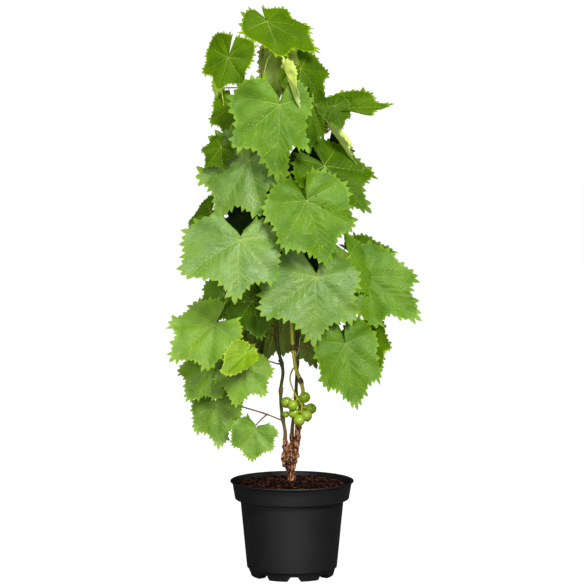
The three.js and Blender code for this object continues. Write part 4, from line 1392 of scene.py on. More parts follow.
    def outline(self) -> tuple[Array, Array]:
        """Return the whole plain and toothed outlines, turning anticlockwise from the sinus."""
        blade = self.blade
        halves = [self.half_outline(), self.half_outline()]
        lip = math.radians(180 - blade.sinus * blade.SINUS_LIP)
        floor = blade.SINUS_FLOOR * np.array([math.cos(lip), math.sin(lip)])
        lobe_end = halves[0][0][-1]
        sinus = np.array([*(lobe_end * (1 - share) + floor * share for share in self.SINUS_STOPS), floor])
        mirror = np.array([1, -1])
        behind = np.array([[-blade.BEHIND, 0]])
        plain, toothed = (
            np.concatenate([behind, sinus[::-1] * mirror, right[:0:-1] * mirror, left, sinus])
            for left, right in zip(*halves)
        )
        return plain, toothed

    def edge_at(self, angles: Array) -> Array:
        """Return the plain outline's reach at each bearing."""
        reach = np.hypot(*self.plain.T)
        return np.interp(angles, np.append(self.bearings, math.pi), np.append(reach, reach[0]))

    def edge_in(self, angle: float) -> float:
        """Return the plain outline's reach at one bearing."""
        return float(self.edge_at(np.array([angle]))[0])

    def lay_veins(self) -> list[Vein]:
        """Lay the main veins out of the junction and branches off them.

        Returns:
            For each vein its line in shares of the midrib, its widths at foot and tip in millimetres,
            and whether it is a main one.
        """
        veins = []
        foot, tip = self.vein
        limit = 180 - self.blade.sinus * self.SINUS_SHARE - self.CLEAR_OF_SINUS
        for degrees, way in self.MAIN_VEINS:
            degrees = math.copysign(min(abs(degrees), limit), degrees)
            angle = math.radians(degrees)
            reach = self.edge_in(angle) * way
            bend = math.radians(self.dice.uniform(-self.VEIN_BEND, self.VEIN_BEND))
            steps = even_shares(self.VEIN_POINTS)[:, None]
            ways = angle + bend * (steps - 0.5) * steps * 2
            line = steps * reach * np.column_stack([np.cos(ways), np.sin(ways)])
            is_basal = abs(degrees) > self.BASAL_FROM
            veins.append((line, foot * (self.BASAL_WIDTH if is_basal else 1), tip, True))
            if not is_basal:
                veins.extend(self.branches(line, degrees))
        return veins

    def branches(self, line: Array, degrees: float) -> list[Vein]:
        """Lay the side veins of one main vein, each to the leaf's edge or the next vein's field."""
        made = []
        above = min([m for m in self.BETWEEN_VEINS if m > degrees], default=180)
        below = max([m for m in self.BETWEEN_VEINS if m < degrees], default=-180)
        for side, share in itertools.product((1, -1), self.BRANCH_SHARES):
            play = self.dice.uniform(-self.BRANCH_PLAY, self.BRANCH_PLAY)
            spot = (share + play + (self.BRANCH_OFFSET if side > 0 else 0)) * (len(line) - 1)
            k = min(int(spot), len(line) - 2)
            way = line[k + 1] - line[k]
            path = [line[k] + way * (spot - k)]
            heading = math.degrees(math.atan2(way[1], way[0]))
            first_turn, last_turn, easing = self.BRANCH_TURNS
            for step in range(self.BRANCH_STEPS):
                turn = math.radians(heading + side * max(last_turn, first_turn - easing * step))
                path.append(path[-1] + self.BRANCH_STEP * compass(turn)[:2])
                bearing = math.atan2(path[-1][1], path[-1][0])
                outside = math.hypot(*path[-1]) > self.BRANCH_END * self.edge_in(bearing)
                if outside or not below < math.degrees(bearing) < above:
                    break
            if len(path) > 3:
                made.append((np.array(path[:-1:2] + path[-1:]), *self.veinlet, False))
        return made

    def nearest(self, points: Array, main: bool) -> Array:
        """Return the flat distance from each point to the nearest vein of a kind, for a plain size."""
        length = self.blade.length
        stretch = np.column_stack([np.full(len(points), length), length * self.blade.slim_at(points[:, 1])])
        best = np.full(len(points), np.inf)
        for line in (line for line, _, _, is_main in self.veins if is_main == main):
            path = np.concatenate([line[:-1:self.MAIN_EVERY], line[-1:]]) if main else line
            for start, end in zip(path[:-1], path[1:]):
                way = end - start
                share = np.clip(((points - start) @ way) / (way @ way), 0, 1)
                gap = (points - start - share[:, None] * way) * stretch
                best = np.minimum(best, np.hypot(gap[:, 0], gap[:, 1]))
        return best / self.size

    def relief(self, points: Array) -> Array:
        """Return how far the upper side stands over the plain blade at points of the flat outline."""
        length = self.blade.length
        reach = np.hypot(points[:, 0], points[:, 1])
        angle = np.arctan2(points[:, 1], points[:, 0])
        share = reach / np.maximum(self.edge_at(angle), self.LEAST_EDGE)
        calm = np.clip(share * self.CALM_RISE, 0, 1)
        quilt = self.quilt * (1 - hump(self.nearest(points, True), self.quilt_width))
        quilt += self.small_quilt * (1 - hump(self.nearest(points, False), self.small_quilt_width))
        wave = self.wave * length * share**3 * np.sin(self.wave_turns * angle + self.wave_phase)
        droop = self.lobe_droop * length * np.clip(reach, 0, self.DROOP_LIMIT) ** 4
        x, y = points.T
        bends = np.column_stack([x * y, y * np.abs(y), y * y * (x - self.TWIST_MIDDLE)])
        return quilt * calm * self.size + wave - droop + bends @ self.twists * length

    def raise_grid(self) -> Array:
        """Return the upper side's points as an array of ring, spoke and axis."""
        layers = [self.plain * share for share in self.shares] + [self.toothed]
        flat = np.concatenate(layers)
        reach = np.hypot(*flat.T) * self.blade.length * self.blade.grow
        angle = np.arctan2(flat[:, 1], flat[:, 0])
        angle += math.radians(self.blade.skew) * (angle / math.pi) ** 2
        y = reach * np.sin(angle)
        x, y = reach * np.cos(angle), y * self.blade.slim_at(y) * self.blade.slim
        turn = math.radians(self.blade.turn)
        x, y = x * math.cos(turn) - y * math.sin(turn), x * math.sin(turn) + y * math.cos(turn)
        places = self.blade.points(x, y, self.relief(flat) + self.thickness / 2)
        grid = (places + np.array(self.blade.shift)).reshape(len(layers), len(self.plain), 3)
        for ring, kept in zip(grid[1:], self.ring_spokes()):
            self.even_out(ring, kept)
        return grid

    @staticmethod
    def even_out(ring: Array, kept: Array) -> None:
        """Lay the spokes that a ring leaves out on the straight lines between those that it keeps."""
        count = len(ring)
        for axis in range(3):
            values = np.append(ring[kept, axis], ring[kept[0], axis])
            ring[:, axis] = np.interp(np.arange(count), np.append(kept, count), values)

    def on_surface(self, flat: Array) -> Array:
        """Return the places on the grid that lie over points of the flat outline."""
        angle = np.arctan2(flat[:, 1], flat[:, 0])
        count = len(self.plain)
        spoke = np.interp(angle, np.append(self.bearings, math.pi), np.arange(count + 1))
        left = np.minimum(spoke.astype(int), count - 1)
        right = (left + 1) % count
        across = (spoke - left)[:, None]
        share = np.hypot(flat[:, 0], flat[:, 1]) / self.edge_at(angle)
        ring = np.interp(share, self.shares, np.arange(len(self.shares)))
        inner = np.minimum(ring.astype(int), len(self.shares) - 2)
        outward = (ring - inner)[:, None]
        low = self.grid[inner, left] * (1 - across) + self.grid[inner, right] * across
        high = self.grid[inner + 1, left] * (1 - across) + self.grid[inner + 1, right] * across
        return low * (1 - outward) + high * outward

    def ring_spokes(self) -> list[Array]:
        """Return the spokes that each ring has points on: fewer toward the junction."""
        steps = [4] * (len(self.COARSE_RINGS) - 1)
        steps += [2] * len(self.MIDDLE_RINGS) + [1] * (len(self.FINE_RINGS) + 1)
        return [np.arange(0, len(self.plain), step) for step in steps]

    @staticmethod
    def strip(inner: Array, outer: Array, first_inner: int, first_outer: int, count: int) -> list[tuple]:
        """Return the faces between two rings whose points lie on the given spokes.

        Args:
            inner: The inner ring's spokes.
            outer: The outer ring's spokes.
            first_inner: Index of the inner ring's first point.
            first_outer: Index of the outer ring's first point.
            count: How many spokes there are in all.

        Returns:
            Rows of four indices; a triangle ends in -1.
        """
        faces = []
        place = {int(spoke): first_outer + k for k, spoke in enumerate(outer)}
        for k, spoke in enumerate(inner):
            last = k + 1 == len(inner)
            after = count if last else int(inner[k + 1])
            here, beyond = first_inner + k, first_inner + (0 if last else k + 1)
            between = [place[x % count] for x in range(int(spoke), after + 1) if x % count in place]
            middle = (len(between) - 1) // 2
            for m, (one, next_one) in enumerate(zip(between[:-1], between[1:])):
                if m == middle:
                    faces.append((here, one, next_one, beyond))
                else:
                    faces.append((here if m < middle else beyond, one, next_one, -1))
        return faces

    def add_blade(self, shape: Shape) -> None:
        """Add the closed blade with its upper side, margin and underside."""
        count = len(self.plain)
        spokes = self.ring_spokes()
        starts = 1 + np.concatenate([[0], np.cumsum([len(ring) for ring in spokes])[:-1]])
        rings = [ring[kept] for ring, kept in zip(self.grid[1:], spokes)]
        upper = np.concatenate([self.grid[0, :1], *rings])
        lower = upper - self.blade.out * self.thickness
        half = len(upper)
        first = len(spokes[0])
        sheet = [(0, 1 + k, 1 + (k + 1) % first, -1) for k in range(first)]
        for k in range(len(spokes) - 1):
            sheet += self.strip(spokes[k], spokes[k + 1], int(starts[k]), int(starts[k + 1]), count)
        sheet = np.array(sheet)
        under = turned_over(sheet)
        under = np.where(under >= 0, under + half, -1)
        here = int(starts[-1]) + np.arange(count)
        after = np.roll(here, -1)
        edge = np.column_stack([here, half + here, half + after, after])
        finish = np.full(len(sheet) * 2 + count, LeafPart.UPPER.value)
        finish[len(sheet):] = LeafPart.UNDER.value
        finish[len(sheet) - count : len(sheet)] = LeafPart.MARGIN.value
        finish[len(sheet) * 2 :] = LeafPart.MARGIN.value
        shape.add(np.concatenate([upper, lower]), np.concatenate([sheet, under, edge]), finish)

    def add_vein(self, shape: Shape, line: Array, foot: float, tip: float, main: bool) -> None:
        """Add one vein as a low ridge on the upper side and, for a main one, a higher one under it.

        Args:
            shape: What it is added to.
            line: Its middle in shares of the midrib.
            foot: Its width at the foot in millimetres.
            tip: Its width at the tip.
            main: Whether it is a main vein.
        """
        taper = foot + (tip - foot) * even_shares(len(line))
        widths = taper * self.size**0.5 / self.blade.length
        way = np.gradient(line, axis=0)
        across = unit(np.column_stack([-way[:, 1], way[:, 0]])) * (widths / 2)[:, None]
        middle, left, right = (self.on_surface(line + shift) for shift in (0 * across, across, -across))
        out = self.blade.out
        part = LeafPart.VEIN if main else LeafPart.VEINLET
        bases = (0.0, -self.thickness) if main else (0.0,)
        for (rise, sink), base in zip(self.RIDGES, bases):
            height = np.outer(taper / foot * rise * (1 if main else self.VEINLET_RISE), out)
            edge = (base + sink) * out
            crest = middle + base * out + height
            rows = np.stack([right + edge, crest, left + edge], axis=1).reshape(-1, 3)
            last = (len(line) - 1) * 3
            ends = np.array([[0, 2, 1, -1], [last, last + 1, last + 2, -1]])
            faces = np.concatenate([ring_faces(len(line), 3), ends])
            shape.add(rows, turned_over(faces) if rise > 0 else faces, part.value)

    def add(self, shape: Shape) -> None:
        """Add the whole leaf."""
        self.add_blade(shape)
        for line, foot, tip, main in self.veins:
            self.add_vein(shape, line, foot, tip, main)


@dataclass
class Foliage:
    """All leaves of one zone of the crown, joined."""

    zone: Zone
    leaves: list[Leaf]
    first_seed: int

    SHARP = 50

    def finishes(self) -> tuple[list[Finish], dict[tuple[Tint, LeafPart], int]]:
        """Return the zone's finishes, and the slot of each tint and part of a leaf."""
        tints = sorted({leaf.blade.tint for leaf in self.leaves}, key=lambda tint: tint.value)
        made: list[Finish] = []
        slots: dict[tuple[Tint, LeafPart], int] = {}
        for tint in tints:
            slots[tint, LeafPart.UPPER] = len(made)
            slots[tint, LeafPart.MARGIN] = len(made) + 1
            made += [UPPER_SIDES[tint], MARGINS[tint]]
        shared = {LeafPart.UNDER: UNDERSIDE, LeafPart.VEIN: VEIN, LeafPart.VEINLET: VEIN_FINE}
        for part, finish in shared.items():
            for tint in tints:
                slots[tint, part] = len(made)
            made.append(finish)
        # a pale leaf shows its pale colour on both sides: painted light, so that a side turned away from
        # the lamps still looks bright
        if Tint.PALE in tints:
            slots[Tint.PALE, LeafPart.UNDER] = slots[Tint.PALE, LeafPart.UPPER]
        # the near-black leaves get the dark veins, which keep their painted shade
        slots[Tint.SHADE, LeafPart.VEIN] = slots[Tint.SHADE, LeafPart.VEINLET] = len(made)
        made.append(VEIN_PAINTED_SHADE)
        return made, slots

    def build(self) -> Piece:
        """Make the zone's leaves as one piece that stands for its CAD masses."""
        finishes, slots = self.finishes()
        shape = Shape()
        for number, leaf in enumerate(self.leaves):
            own = Shape()
            LeafForm(leaf.blade, self.first_seed + number).add(own)
            lookup = np.array([slots[leaf.blade.tint, part] for part in LeafPart])
            finish = lookup[np.concatenate(own.finishes)]
            shape.add(np.concatenate(own.points), np.concatenate(own.corners), finish)
        piece = make_piece("foliage_" + self.zone.value, shape, finishes, sharp=self.SHARP)
        masses = [spray.name for spray in SPRAYS if spray.zone is self.zone]
        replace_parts(piece, *["leaves_" + name for name in masses])
        return piece


def make_piece(
    name: str, shape: Shape, finishes: list[Finish], sharp: float | None = None
) -> Piece:
    """Turn a shape into a piece that rides on the plant's body.

    Args:
        name: The piece's name.
        shape: Its points and faces.
        finishes: What its faces' finish numbers stand for.
        sharp: Edges steeper than this many degrees stay crisp; None keeps all smooth.

    Returns:
        The Blender object.
    """
    mesh = shape.mesh(name)
    for finish in finishes:
        mesh.materials.append(finish.material())
    soften(mesh, sharp)
    piece = linked(name, mesh)
    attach(piece, BODY)
    log.info("%s: %d points, %d faces", name, len(mesh.vertices), len(mesh.polygons))
    return piece


def soften(mesh: bpy.types.Mesh, sharp: float | None) -> None:
    """Shade a mesh smooth, but for edges steeper than `sharp` degrees."""
    mesh.polygons.foreach_set("use_smooth", np.ones(len(mesh.polygons), dtype=bool))
    if sharp is not None:
        mesh.set_sharp_from_angle(angle=math.radians(sharp))


# === Stalks, canes and tendrils ===

STALK_GREEN = StemFinish("stalk_green", srgb(128, 130, 44), srgb(140, 112, 52), roughness=0.45)
STALK_YELLOW = StemFinish("stalk_yellow", srgb(196, 186, 60), srgb(176, 158, 52), roughness=0.45)
STALK_RED = StemFinish("stalk_red", srgb(138, 92, 54), srgb(104, 62, 40), roughness=0.45)
# a darker green for the left and back canes: painted shade, the cane's green darkened as for a cane in
# shadow
CANE_GREEN_PAINTED_SHADE = StemFinish("cane_green", srgb(84, 96, 32), srgb(64, 72, 26), roughness=0.45)
# a bright yellow-green for the right cane: painted light, brighter than its own colour so that it looks lit
# where leaves shade it
CANE_PAINTED_LIGHT = StemFinish("cane_light", srgb(226, 220, 84), srgb(196, 184, 60), roughness=0.45)
CANE_TAN = StemFinish("cane_tan", srgb(126, 98, 52), srgb(88, 64, 34), roughness=0.6, relief=0.6)
BUD = StemFinish("bud", srgb(120, 82, 46), srgb(84, 52, 30), roughness=0.6)
SHOOT = StemFinish("shoot", srgb(186, 200, 104), srgb(170, 180, 84), roughness=0.5)


def swollen(share: Array, foot: Pair, tip: Pair) -> Array:
    """Return how thick a stalk is at each share of it, against its plain radius.

    Args:
        share: Shares of its length.
        foot: How much it swells at its foot, and over what share of it.
        tip: The same at its tip.

    Returns:
        A factor for each share.
    """
    return 1 + foot[0] * hump(share, foot[1]) + tip[0] * hump(1 - share, tip[1])


@dataclass
class Stalks:
    """The sprays' stems and the leaves' petioles, joined."""

    leaves: list[Leaf]
    seed: int = 31
    stem_radius: float = 1.35
    low_stem_radius: float = 1.05
    petiole_foot: float = 1.15
    petiole_tip: float = 0.85
    stem_step: float = 2.5
    petiole_step: float = 3
    wobble: float = 1.5
    red_share: float = 0.45
    sides: int = 8

    STEM_ENDS = ((0.3, 0.15), (0.25, 0.12))
    PETIOLE_ENDS = ((0.35, 0.07), (0.3, 0.05))
    SHARP = 40

    def petiole_radii(self, count: int) -> Array:
        """Return a petiole's radii, swollen a little where it starts and where it holds the blade."""
        share = even_shares(count)
        plain = self.petiole_foot + (self.petiole_tip - self.petiole_foot) * share
        return plain * swollen(share, *self.PETIOLE_ENDS)

    def build(self) -> Piece:
        """Make all stalks as one piece."""
        dice = np.random.default_rng(self.seed)
        shape = Shape()
        for spray in SPRAYS:
            stem = SmoothPath([tuple(point) for point in spray.stem()]).spaced(self.stem_step)
            stem[0] = spray.stem()[0]
            low = spray.zone is Zone.LOW
            radius = self.low_stem_radius if low else self.stem_radius
            radii = radius * swollen(even_shares(len(stem)), *self.STEM_ENDS)
            shape.add(*tube(stem, radii, self.sides + 2), finish=int(low))
        for leaf in self.leaves:
            fork = np.array(leaf.spray.fork, dtype=float)
            reach = float(np.linalg.norm(fork - leaf.blade.place))
            path = leaf.blade.petiole(fork, max(8, round(reach / self.petiole_step)))
            path = path + np.outer(even_shares(len(path)) ** 2, leaf.blade.shift)
            sway = np.sin(np.linspace(0, math.pi, len(path)))[:, None]
            path = path + sway * dice.uniform(-self.wobble, self.wobble, 3)
            finish = 2 if leaf.blade.tint is Tint.YELLOW else int(dice.random() < self.red_share)
            shape.add(*tube(path, self.petiole_radii(len(path)), self.sides), finish=finish)
        finishes = [STALK_GREEN, STALK_RED, STALK_YELLOW]
        return make_piece("leaf_stalks", shape, finishes, sharp=self.SHARP)


@dataclass
class CaneSkin:
    """The full form of one cane: swollen nodes, small buds and slight ribs."""

    cane: Cane
    finish: Finish
    stout: float
    node_finish: Finish = CANE_TAN
    step: float = 2.2
    sides: int = 14
    spacing: float = 62
    swelling: float = 0.42
    node_length: float = 4.5
    node_bark: float = 0.55
    ribs: int = 5
    rib_height: float = 0.035
    old_wood: float = 0.035
    bare_foot: float = 14
    bare_tip: float = 4

    BUD_RADII = (1.5, 1.6, 1.35, 1.0, 0.6, 0.2)
    BUD_SINK = 0.7
    BUD_OVER_NODE = 3
    BUD_OUT, BUD_UP, BUD_FRONT = 2.6, 3.0, -0.35
    BUD_SIDES = 8

    def node_heights(self) -> list[float]:
        """Return the heights of the nodes: where sprays leave, and between them where the gap is wide."""
        low, high = self.cane.stops[0][2] + self.bare_foot, self.cane.stops[-1][2] - self.bare_tip
        used = [spray.fork[2] - Spray.STEM_BELOW for spray in SPRAYS if spray.cane == self.cane.name]
        heights = [low, *sorted(used), high]
        between = []
        for start, end in zip(heights[:-1], heights[1:]):
            count = int((end - start) / self.spacing)
            between += [start + (end - start) * (i + 1) / (count + 1) for i in range(count)]
        return sorted([*used, *between])

    def build(self) -> Piece:
        """Make the cane as one piece that stands for its CAD limb."""
        path = SmoothPath(self.cane.stops).spaced(self.step)
        share = even_shares(len(path))
        nodes = np.array(self.node_heights())
        away = np.abs(path[:, 2][:, None] - nodes[None, :])
        bump = hump(away, self.node_length).max(axis=1)
        radii = along(self.cane.radii, share) * self.stout * (1 + self.swelling * bump)
        angles = even_angles(self.sides)
        ribbed = radii[:, None] * (1 + self.rib_height * np.cos(self.ribs * angles)[None, :])
        shape = Shape()
        points, faces = tube(path, ribbed, self.sides)
        ring = np.clip((faces.min(axis=1) - 2) // self.sides, 0, len(path) - 1)
        brown = (bump[ring] > self.node_bark) | (share[ring] < self.old_wood)
        shape.add(points, faces, np.where(brown, 1, 0))
        self.add_buds(shape, nodes)
        finishes = [self.finish, self.node_finish, BUD]
        piece = make_piece("cane_skin_" + self.cane.name, shape, finishes)
        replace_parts(piece, "cane_" + self.cane.name)
        return piece

    def add_buds(self, shape: Shape, nodes: Array) -> None:
        """Add a small pointed bud above each node, on alternate sides."""
        steps = even_shares(len(self.BUD_RADII))
        for number, height in enumerate(nodes):
            middle, way, radius = self.cane.at(float(height) + self.BUD_OVER_NODE)
            side = np.array([1.0 if number % 2 else -1.0, self.BUD_FRONT, 0.0])
            side = square_to(side, way)
            foot = middle + side * radius * self.BUD_SINK
            path = foot + np.outer(steps, side * self.BUD_OUT + way * self.BUD_UP)
            shape.add(*tube(path, np.array(self.BUD_RADII), self.BUD_SIDES), finish=2)


@dataclass
class Curl:
    """One tendril: listed stops, then a tightening curl at the tip."""

    stops: list[Place]
    turns: float
    radius: float
    thick: float = 0.55

    STEP = 1.2
    STEPS_A_TURN = 26
    TIGHTER = 0.45
    RISE = 2.5
    TAPER = (1.25, 0.75)

    def path(self) -> Array:
        """Return the tendril's middle line."""
        line = SmoothPath(self.stops).spaced(self.STEP)
        back = np.array([0.0, 1.0, 0.0])
        way = unit(line[-1] - line[-2])
        side = unit(np.cross(way, back))
        steps = np.linspace(0, 1, max(8, int(self.STEPS_A_TURN * self.turns)))[1:]
        angle = 2 * math.pi * self.turns * steps
        radius = self.radius * (1 - self.TIGHTER * steps)
        curl = (
            line[-1]
            + side * self.radius
            + np.outer(radius * np.sin(angle), way)
            - np.outer(radius * np.cos(angle), side)
            + np.outer(self.RISE * steps, back)
        )
        return np.concatenate([line, curl])

    def add(self, shape: Shape) -> None:
        """Add the tendril."""
        path = self.path()
        foot, less = self.TAPER
        shape.add(*tube(path, self.thick * (foot - less * even_shares(len(path))), 6))


@dataclass
class Tendrils:
    """The tendrils and the pale shoot tips."""

    curls: tuple[Curl, ...] = (
        Curl([(4, -12, 336), (10, -14, 348), (12, -13, 366), (17, -10, 380)], turns=1.0, radius=3),
        Curl([(-44, -18, 806), (-53, -19, 814), (-60, -20, 824)], turns=0.7, radius=2.5),
        Curl([(-43, -17, 770), (-36, -24, 792), (-30, -28, 800)], turns=1.4, radius=3),
        Curl([(-29, -8, 480), (-40, 6, 470), (-52, 14, 476)], turns=1.6, radius=4),
        Curl([(9, 26, 420), (20, 40, 412), (34, 50, 420)], turns=1.6, radius=4),
        Curl([(45, 4, 690), (56, 18, 684), (66, 24, 692)], turns=1.4, radius=4),
        Curl([(-24, -6, 392), (-34, -14, 402), (-38, -18, 412)], turns=1.2, radius=3),
    )
    tips: tuple[Place, ...] = ((-44, -18, 808), (-14, -18, 778), (42, -3, 748))

    SCALES = 5
    SCALE_LENGTH = 9
    SCALE_BOW = (0, 0.8, 1.6, 2.0, 1.9, 1.3, 0.6)
    SCALE_RADII = (0.9, 1.3, 1.5, 1.3, 1.0, 0.6, 0.25)

    def build(self) -> Piece:
        """Make them as one piece."""
        shape = Shape()
        for curl in self.curls:
            curl.add(shape)
        for tip in self.tips:
            self.add_tip(shape, np.array(tip, dtype=float))
        return make_piece("tendrils", shape, [SHOOT])

    def add_tip(self, shape: Shape, place: Array) -> None:
        """Add a shoot tip: a few folded scales round a point, each shorter than the last."""
        for k in range(self.SCALES):
            side = compass(2 * math.pi * k / self.SCALES)
            rise = np.outer(np.linspace(-0.2, 1, len(self.SCALE_BOW)), UP * (self.SCALE_LENGTH - k))
            path = place + rise + np.outer(np.array(self.SCALE_BOW), side)
            shape.add(*tube(path, np.array(self.SCALE_RADII), 7))


# === Old wood ===

BARK = StemFinish("bark_brown", srgb(132, 78, 44), srgb(78, 42, 22), 0.8, relief=1.0, depth=0.6, scale=650)
BARK_DARK = StemFinish("bark_crevice", srgb(40, 20, 11), srgb(22, 11, 7), 0.9, relief=1.0, depth=0.5)
BARK_PALE = StemFinish("bark_flake", srgb(204, 152, 106), srgb(150, 98, 60), 0.75, relief=0.8, depth=0.4)


@dataclass
class Limb:
    """One limb of old wood, as in the source."""

    stops: list[Place]
    radii: Pairs


@dataclass
class Trunk:
    """The gnarled trunk with its spur, arm and stub, fused and covered in flaking bark."""

    stem: Limb = field(default_factory=lambda: Limb(
        [(0, 0, 139), (0, 0, 150), (-1, 0, 160), (-3, 0, 170), (-4, 0, 182), (-4, 1, 193), (-4, 1, 200)],
        [(0, 7.6), (0.15, 5.0), (0.34, 5.2), (0.51, 8.6), (0.66, 12.4), (0.8, 11.4), (0.93, 7.5), (1, 5)],
    ))
    spur: Limb = field(default_factory=lambda: Limb(
        [(-7, 0, 186), (-10.5, 0, 200), (-10.5, 0, 211.5)], [(0, 5.5), (0.8, 3.6), (1, 2.4)],
    ))
    arm: Limb = field(default_factory=lambda: Limb(
        [(0, 0, 182), (6, -1, 198), (9, -1, 218), (9.5, -1, 237.5)],
        [(0, 6), (0.4, 4.4), (0.85, 4.2), (1, 2.8)],
    ))
    stub: Limb = field(default_factory=lambda: Limb(
        [(-3, 3, 184), (0, 12, 200), (0, 14, 208), (0, 14, 217)], [(0, 6), (0.8, 4.1), (1, 2.8)],
    ))
    knobs: tuple[Ball, ...] = (
        (-14, -4, 184, 5.5), (-13, -6, 172, 4.5), (4, -9, 190, 4.5), (9, -2, 186, 4.5), (-6, -11, 178, 4.5),
        (12, -3, 207, 3.2), (13, 0, 225, 2.8), (6.5, -4, 214, 2.8), (-9, 9, 180, 5.0), (2, 10, 188, 4.5),
    )
    voxel: float = 0.62
    bark: float = 0.9
    foot: float = 140

    STEP = 2
    SIDES = 24
    SOFTER = 3
    KNOB_STRETCH = (0.8, 0.8, 1.25)
    KNOB_DRAWN_IN = (0.86, 0.86, 1)
    STRIPS, SMALL_STRIPS, SMALL_STRIP_RISE = (1.5, 1.5, 6), (0.9, 0.9, 3), 0.5
    LUMPS, SMALL_LUMPS, SMALL_LUMP_RISE = 6, 3, 0.6
    FLAKES, FLAKE_RISE, FLAKE_LIMITS = (2.4, 2.4, 3.6), 1.8, (-0.4, 1)
    TONES, TONE_CELL = (0.7, 0.5, 0.4), 1.8
    DARK_BELOW, PALE_ABOVE = -0.2, 0.38
    CALM_LENGTH, CALM_LEAST = 5, 0.2

    def fused(self) -> tuple[Array, Array, Array]:
        """Fuse the limbs and knobs.

        Returns:
            The fused mesh's points, its normals at them, and its faces.
        """
        shape = Shape()
        for limb in (self.stem, self.spur, self.arm, self.stub):
            path = SmoothPath(limb.stops).spaced(self.STEP)
            radii = along(limb.radii, even_shares(len(path)))
            shape.add(*tube(path, radii, self.SIDES))
        points, faces = ball(3)
        for *place, radius in self.knobs:
            knob = points * radius * np.array(self.KNOB_STRETCH)
            shape.add(knob + np.array(place) * np.array(self.KNOB_DRAWN_IN), faces)
        core = linked("trunk_core", shape.mesh("trunk_core"))
        remesh = core.modifiers.new("fuse", "REMESH")
        remesh.mode = "VOXEL"
        remesh.voxel_size = self.voxel * MM
        smooth = core.modifiers.new("soften", "SMOOTH")
        smooth.iterations = self.SOFTER
        made = settled(core)
        bpy.data.objects.remove(core)
        points, normals = (np.zeros(len(made.vertices) * 3, dtype=np.float32) for _ in range(2))
        made.vertices.foreach_get("co", points)
        made.vertices.foreach_get("normal", normals)
        faces = np.array([(*face.vertices, -1)[:4] for face in made.polygons])
        bpy.data.meshes.remove(made)
        return points.reshape(-1, 3) / MM, normals.reshape(-1, 3), faces

    def build(self) -> Piece:
        """Make the trunk as one piece that stands for the CAD trunk."""
        points, normals, faces = self.fused()
        strips = lattice_noise(points, self.STRIPS, 3)
        strips += self.SMALL_STRIP_RISE * lattice_noise(points, self.SMALL_STRIPS, 4)
        lumps = lattice_noise(points, self.LUMPS, 5)
        lumps += self.SMALL_LUMP_RISE * lattice_noise(points, self.SMALL_LUMPS, 6)
        flakes = np.clip(lattice_noise(points, self.FLAKES, 7) * self.FLAKE_RISE, *self.FLAKE_LIMITS)
        rise = self.bark * strips + self.bark * lumps + self.bark * flakes
        calm = np.clip((points[:, 2] - self.foot) / self.CALM_LENGTH, self.CALM_LEAST, 1)
        moved = points + normals * (rise * calm)[:, None]
        from_strips, from_flakes, from_noise = self.TONES
        noise = lattice_noise(moved, self.TONE_CELL, 9)
        tone = (from_strips * strips + from_flakes * flakes + from_noise * noise)[faces[:, 0]]
        shape = Shape()
        shape.add(moved, faces, np.where(tone < self.DARK_BELOW, 1, np.where(tone > self.PALE_ABOVE, 2, 0)))
        piece = make_piece("trunk_bark", shape, [BARK, BARK_DARK, BARK_PALE])
        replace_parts(piece, "trunk")
        return piece


# === Grapes ===

@dataclass(frozen=True)
class BerryFinish(Finish):
    """Firm green berry skin over flesh that light sinks into."""

    depth: float = 3.0
    roughness: Pair = (0.22, 0.34)
    sinks: float = 0.35
    sinks_by_colour: Colour = (0.6, 1.0, 0.25)
    relief: float = 0.05
    relief_depth: float = 0.1

    def surface(self, wiring: Wiring, shader: Node) -> None:
        """Green flesh under a satin skin."""
        grain = GRAIN.place(wiring, Fine=900.0, Broad=90.0)
        wiring.feed_all(shader, {
            "Base Color": wiring.blend(grain["Mottle"], self.colour, self.patch),
            "Roughness": wiring.spread(grain["Mottle"], 0, 1, *self.roughness),
            "Subsurface Weight": self.sinks,
            "Subsurface Radius": self.sinks_by_colour,
            "Subsurface Scale": self.depth * MM,
        })
        self.bump(wiring, shader, grain["Height"], self.relief, self.relief_depth)


BERRY = BerryFinish("berry", srgb(134, 165, 32), srgb(160, 184, 52))
BERRY_SCAR = StemFinish("berry_scar", srgb(110, 90, 50), srgb(70, 50, 30), roughness=0.7)


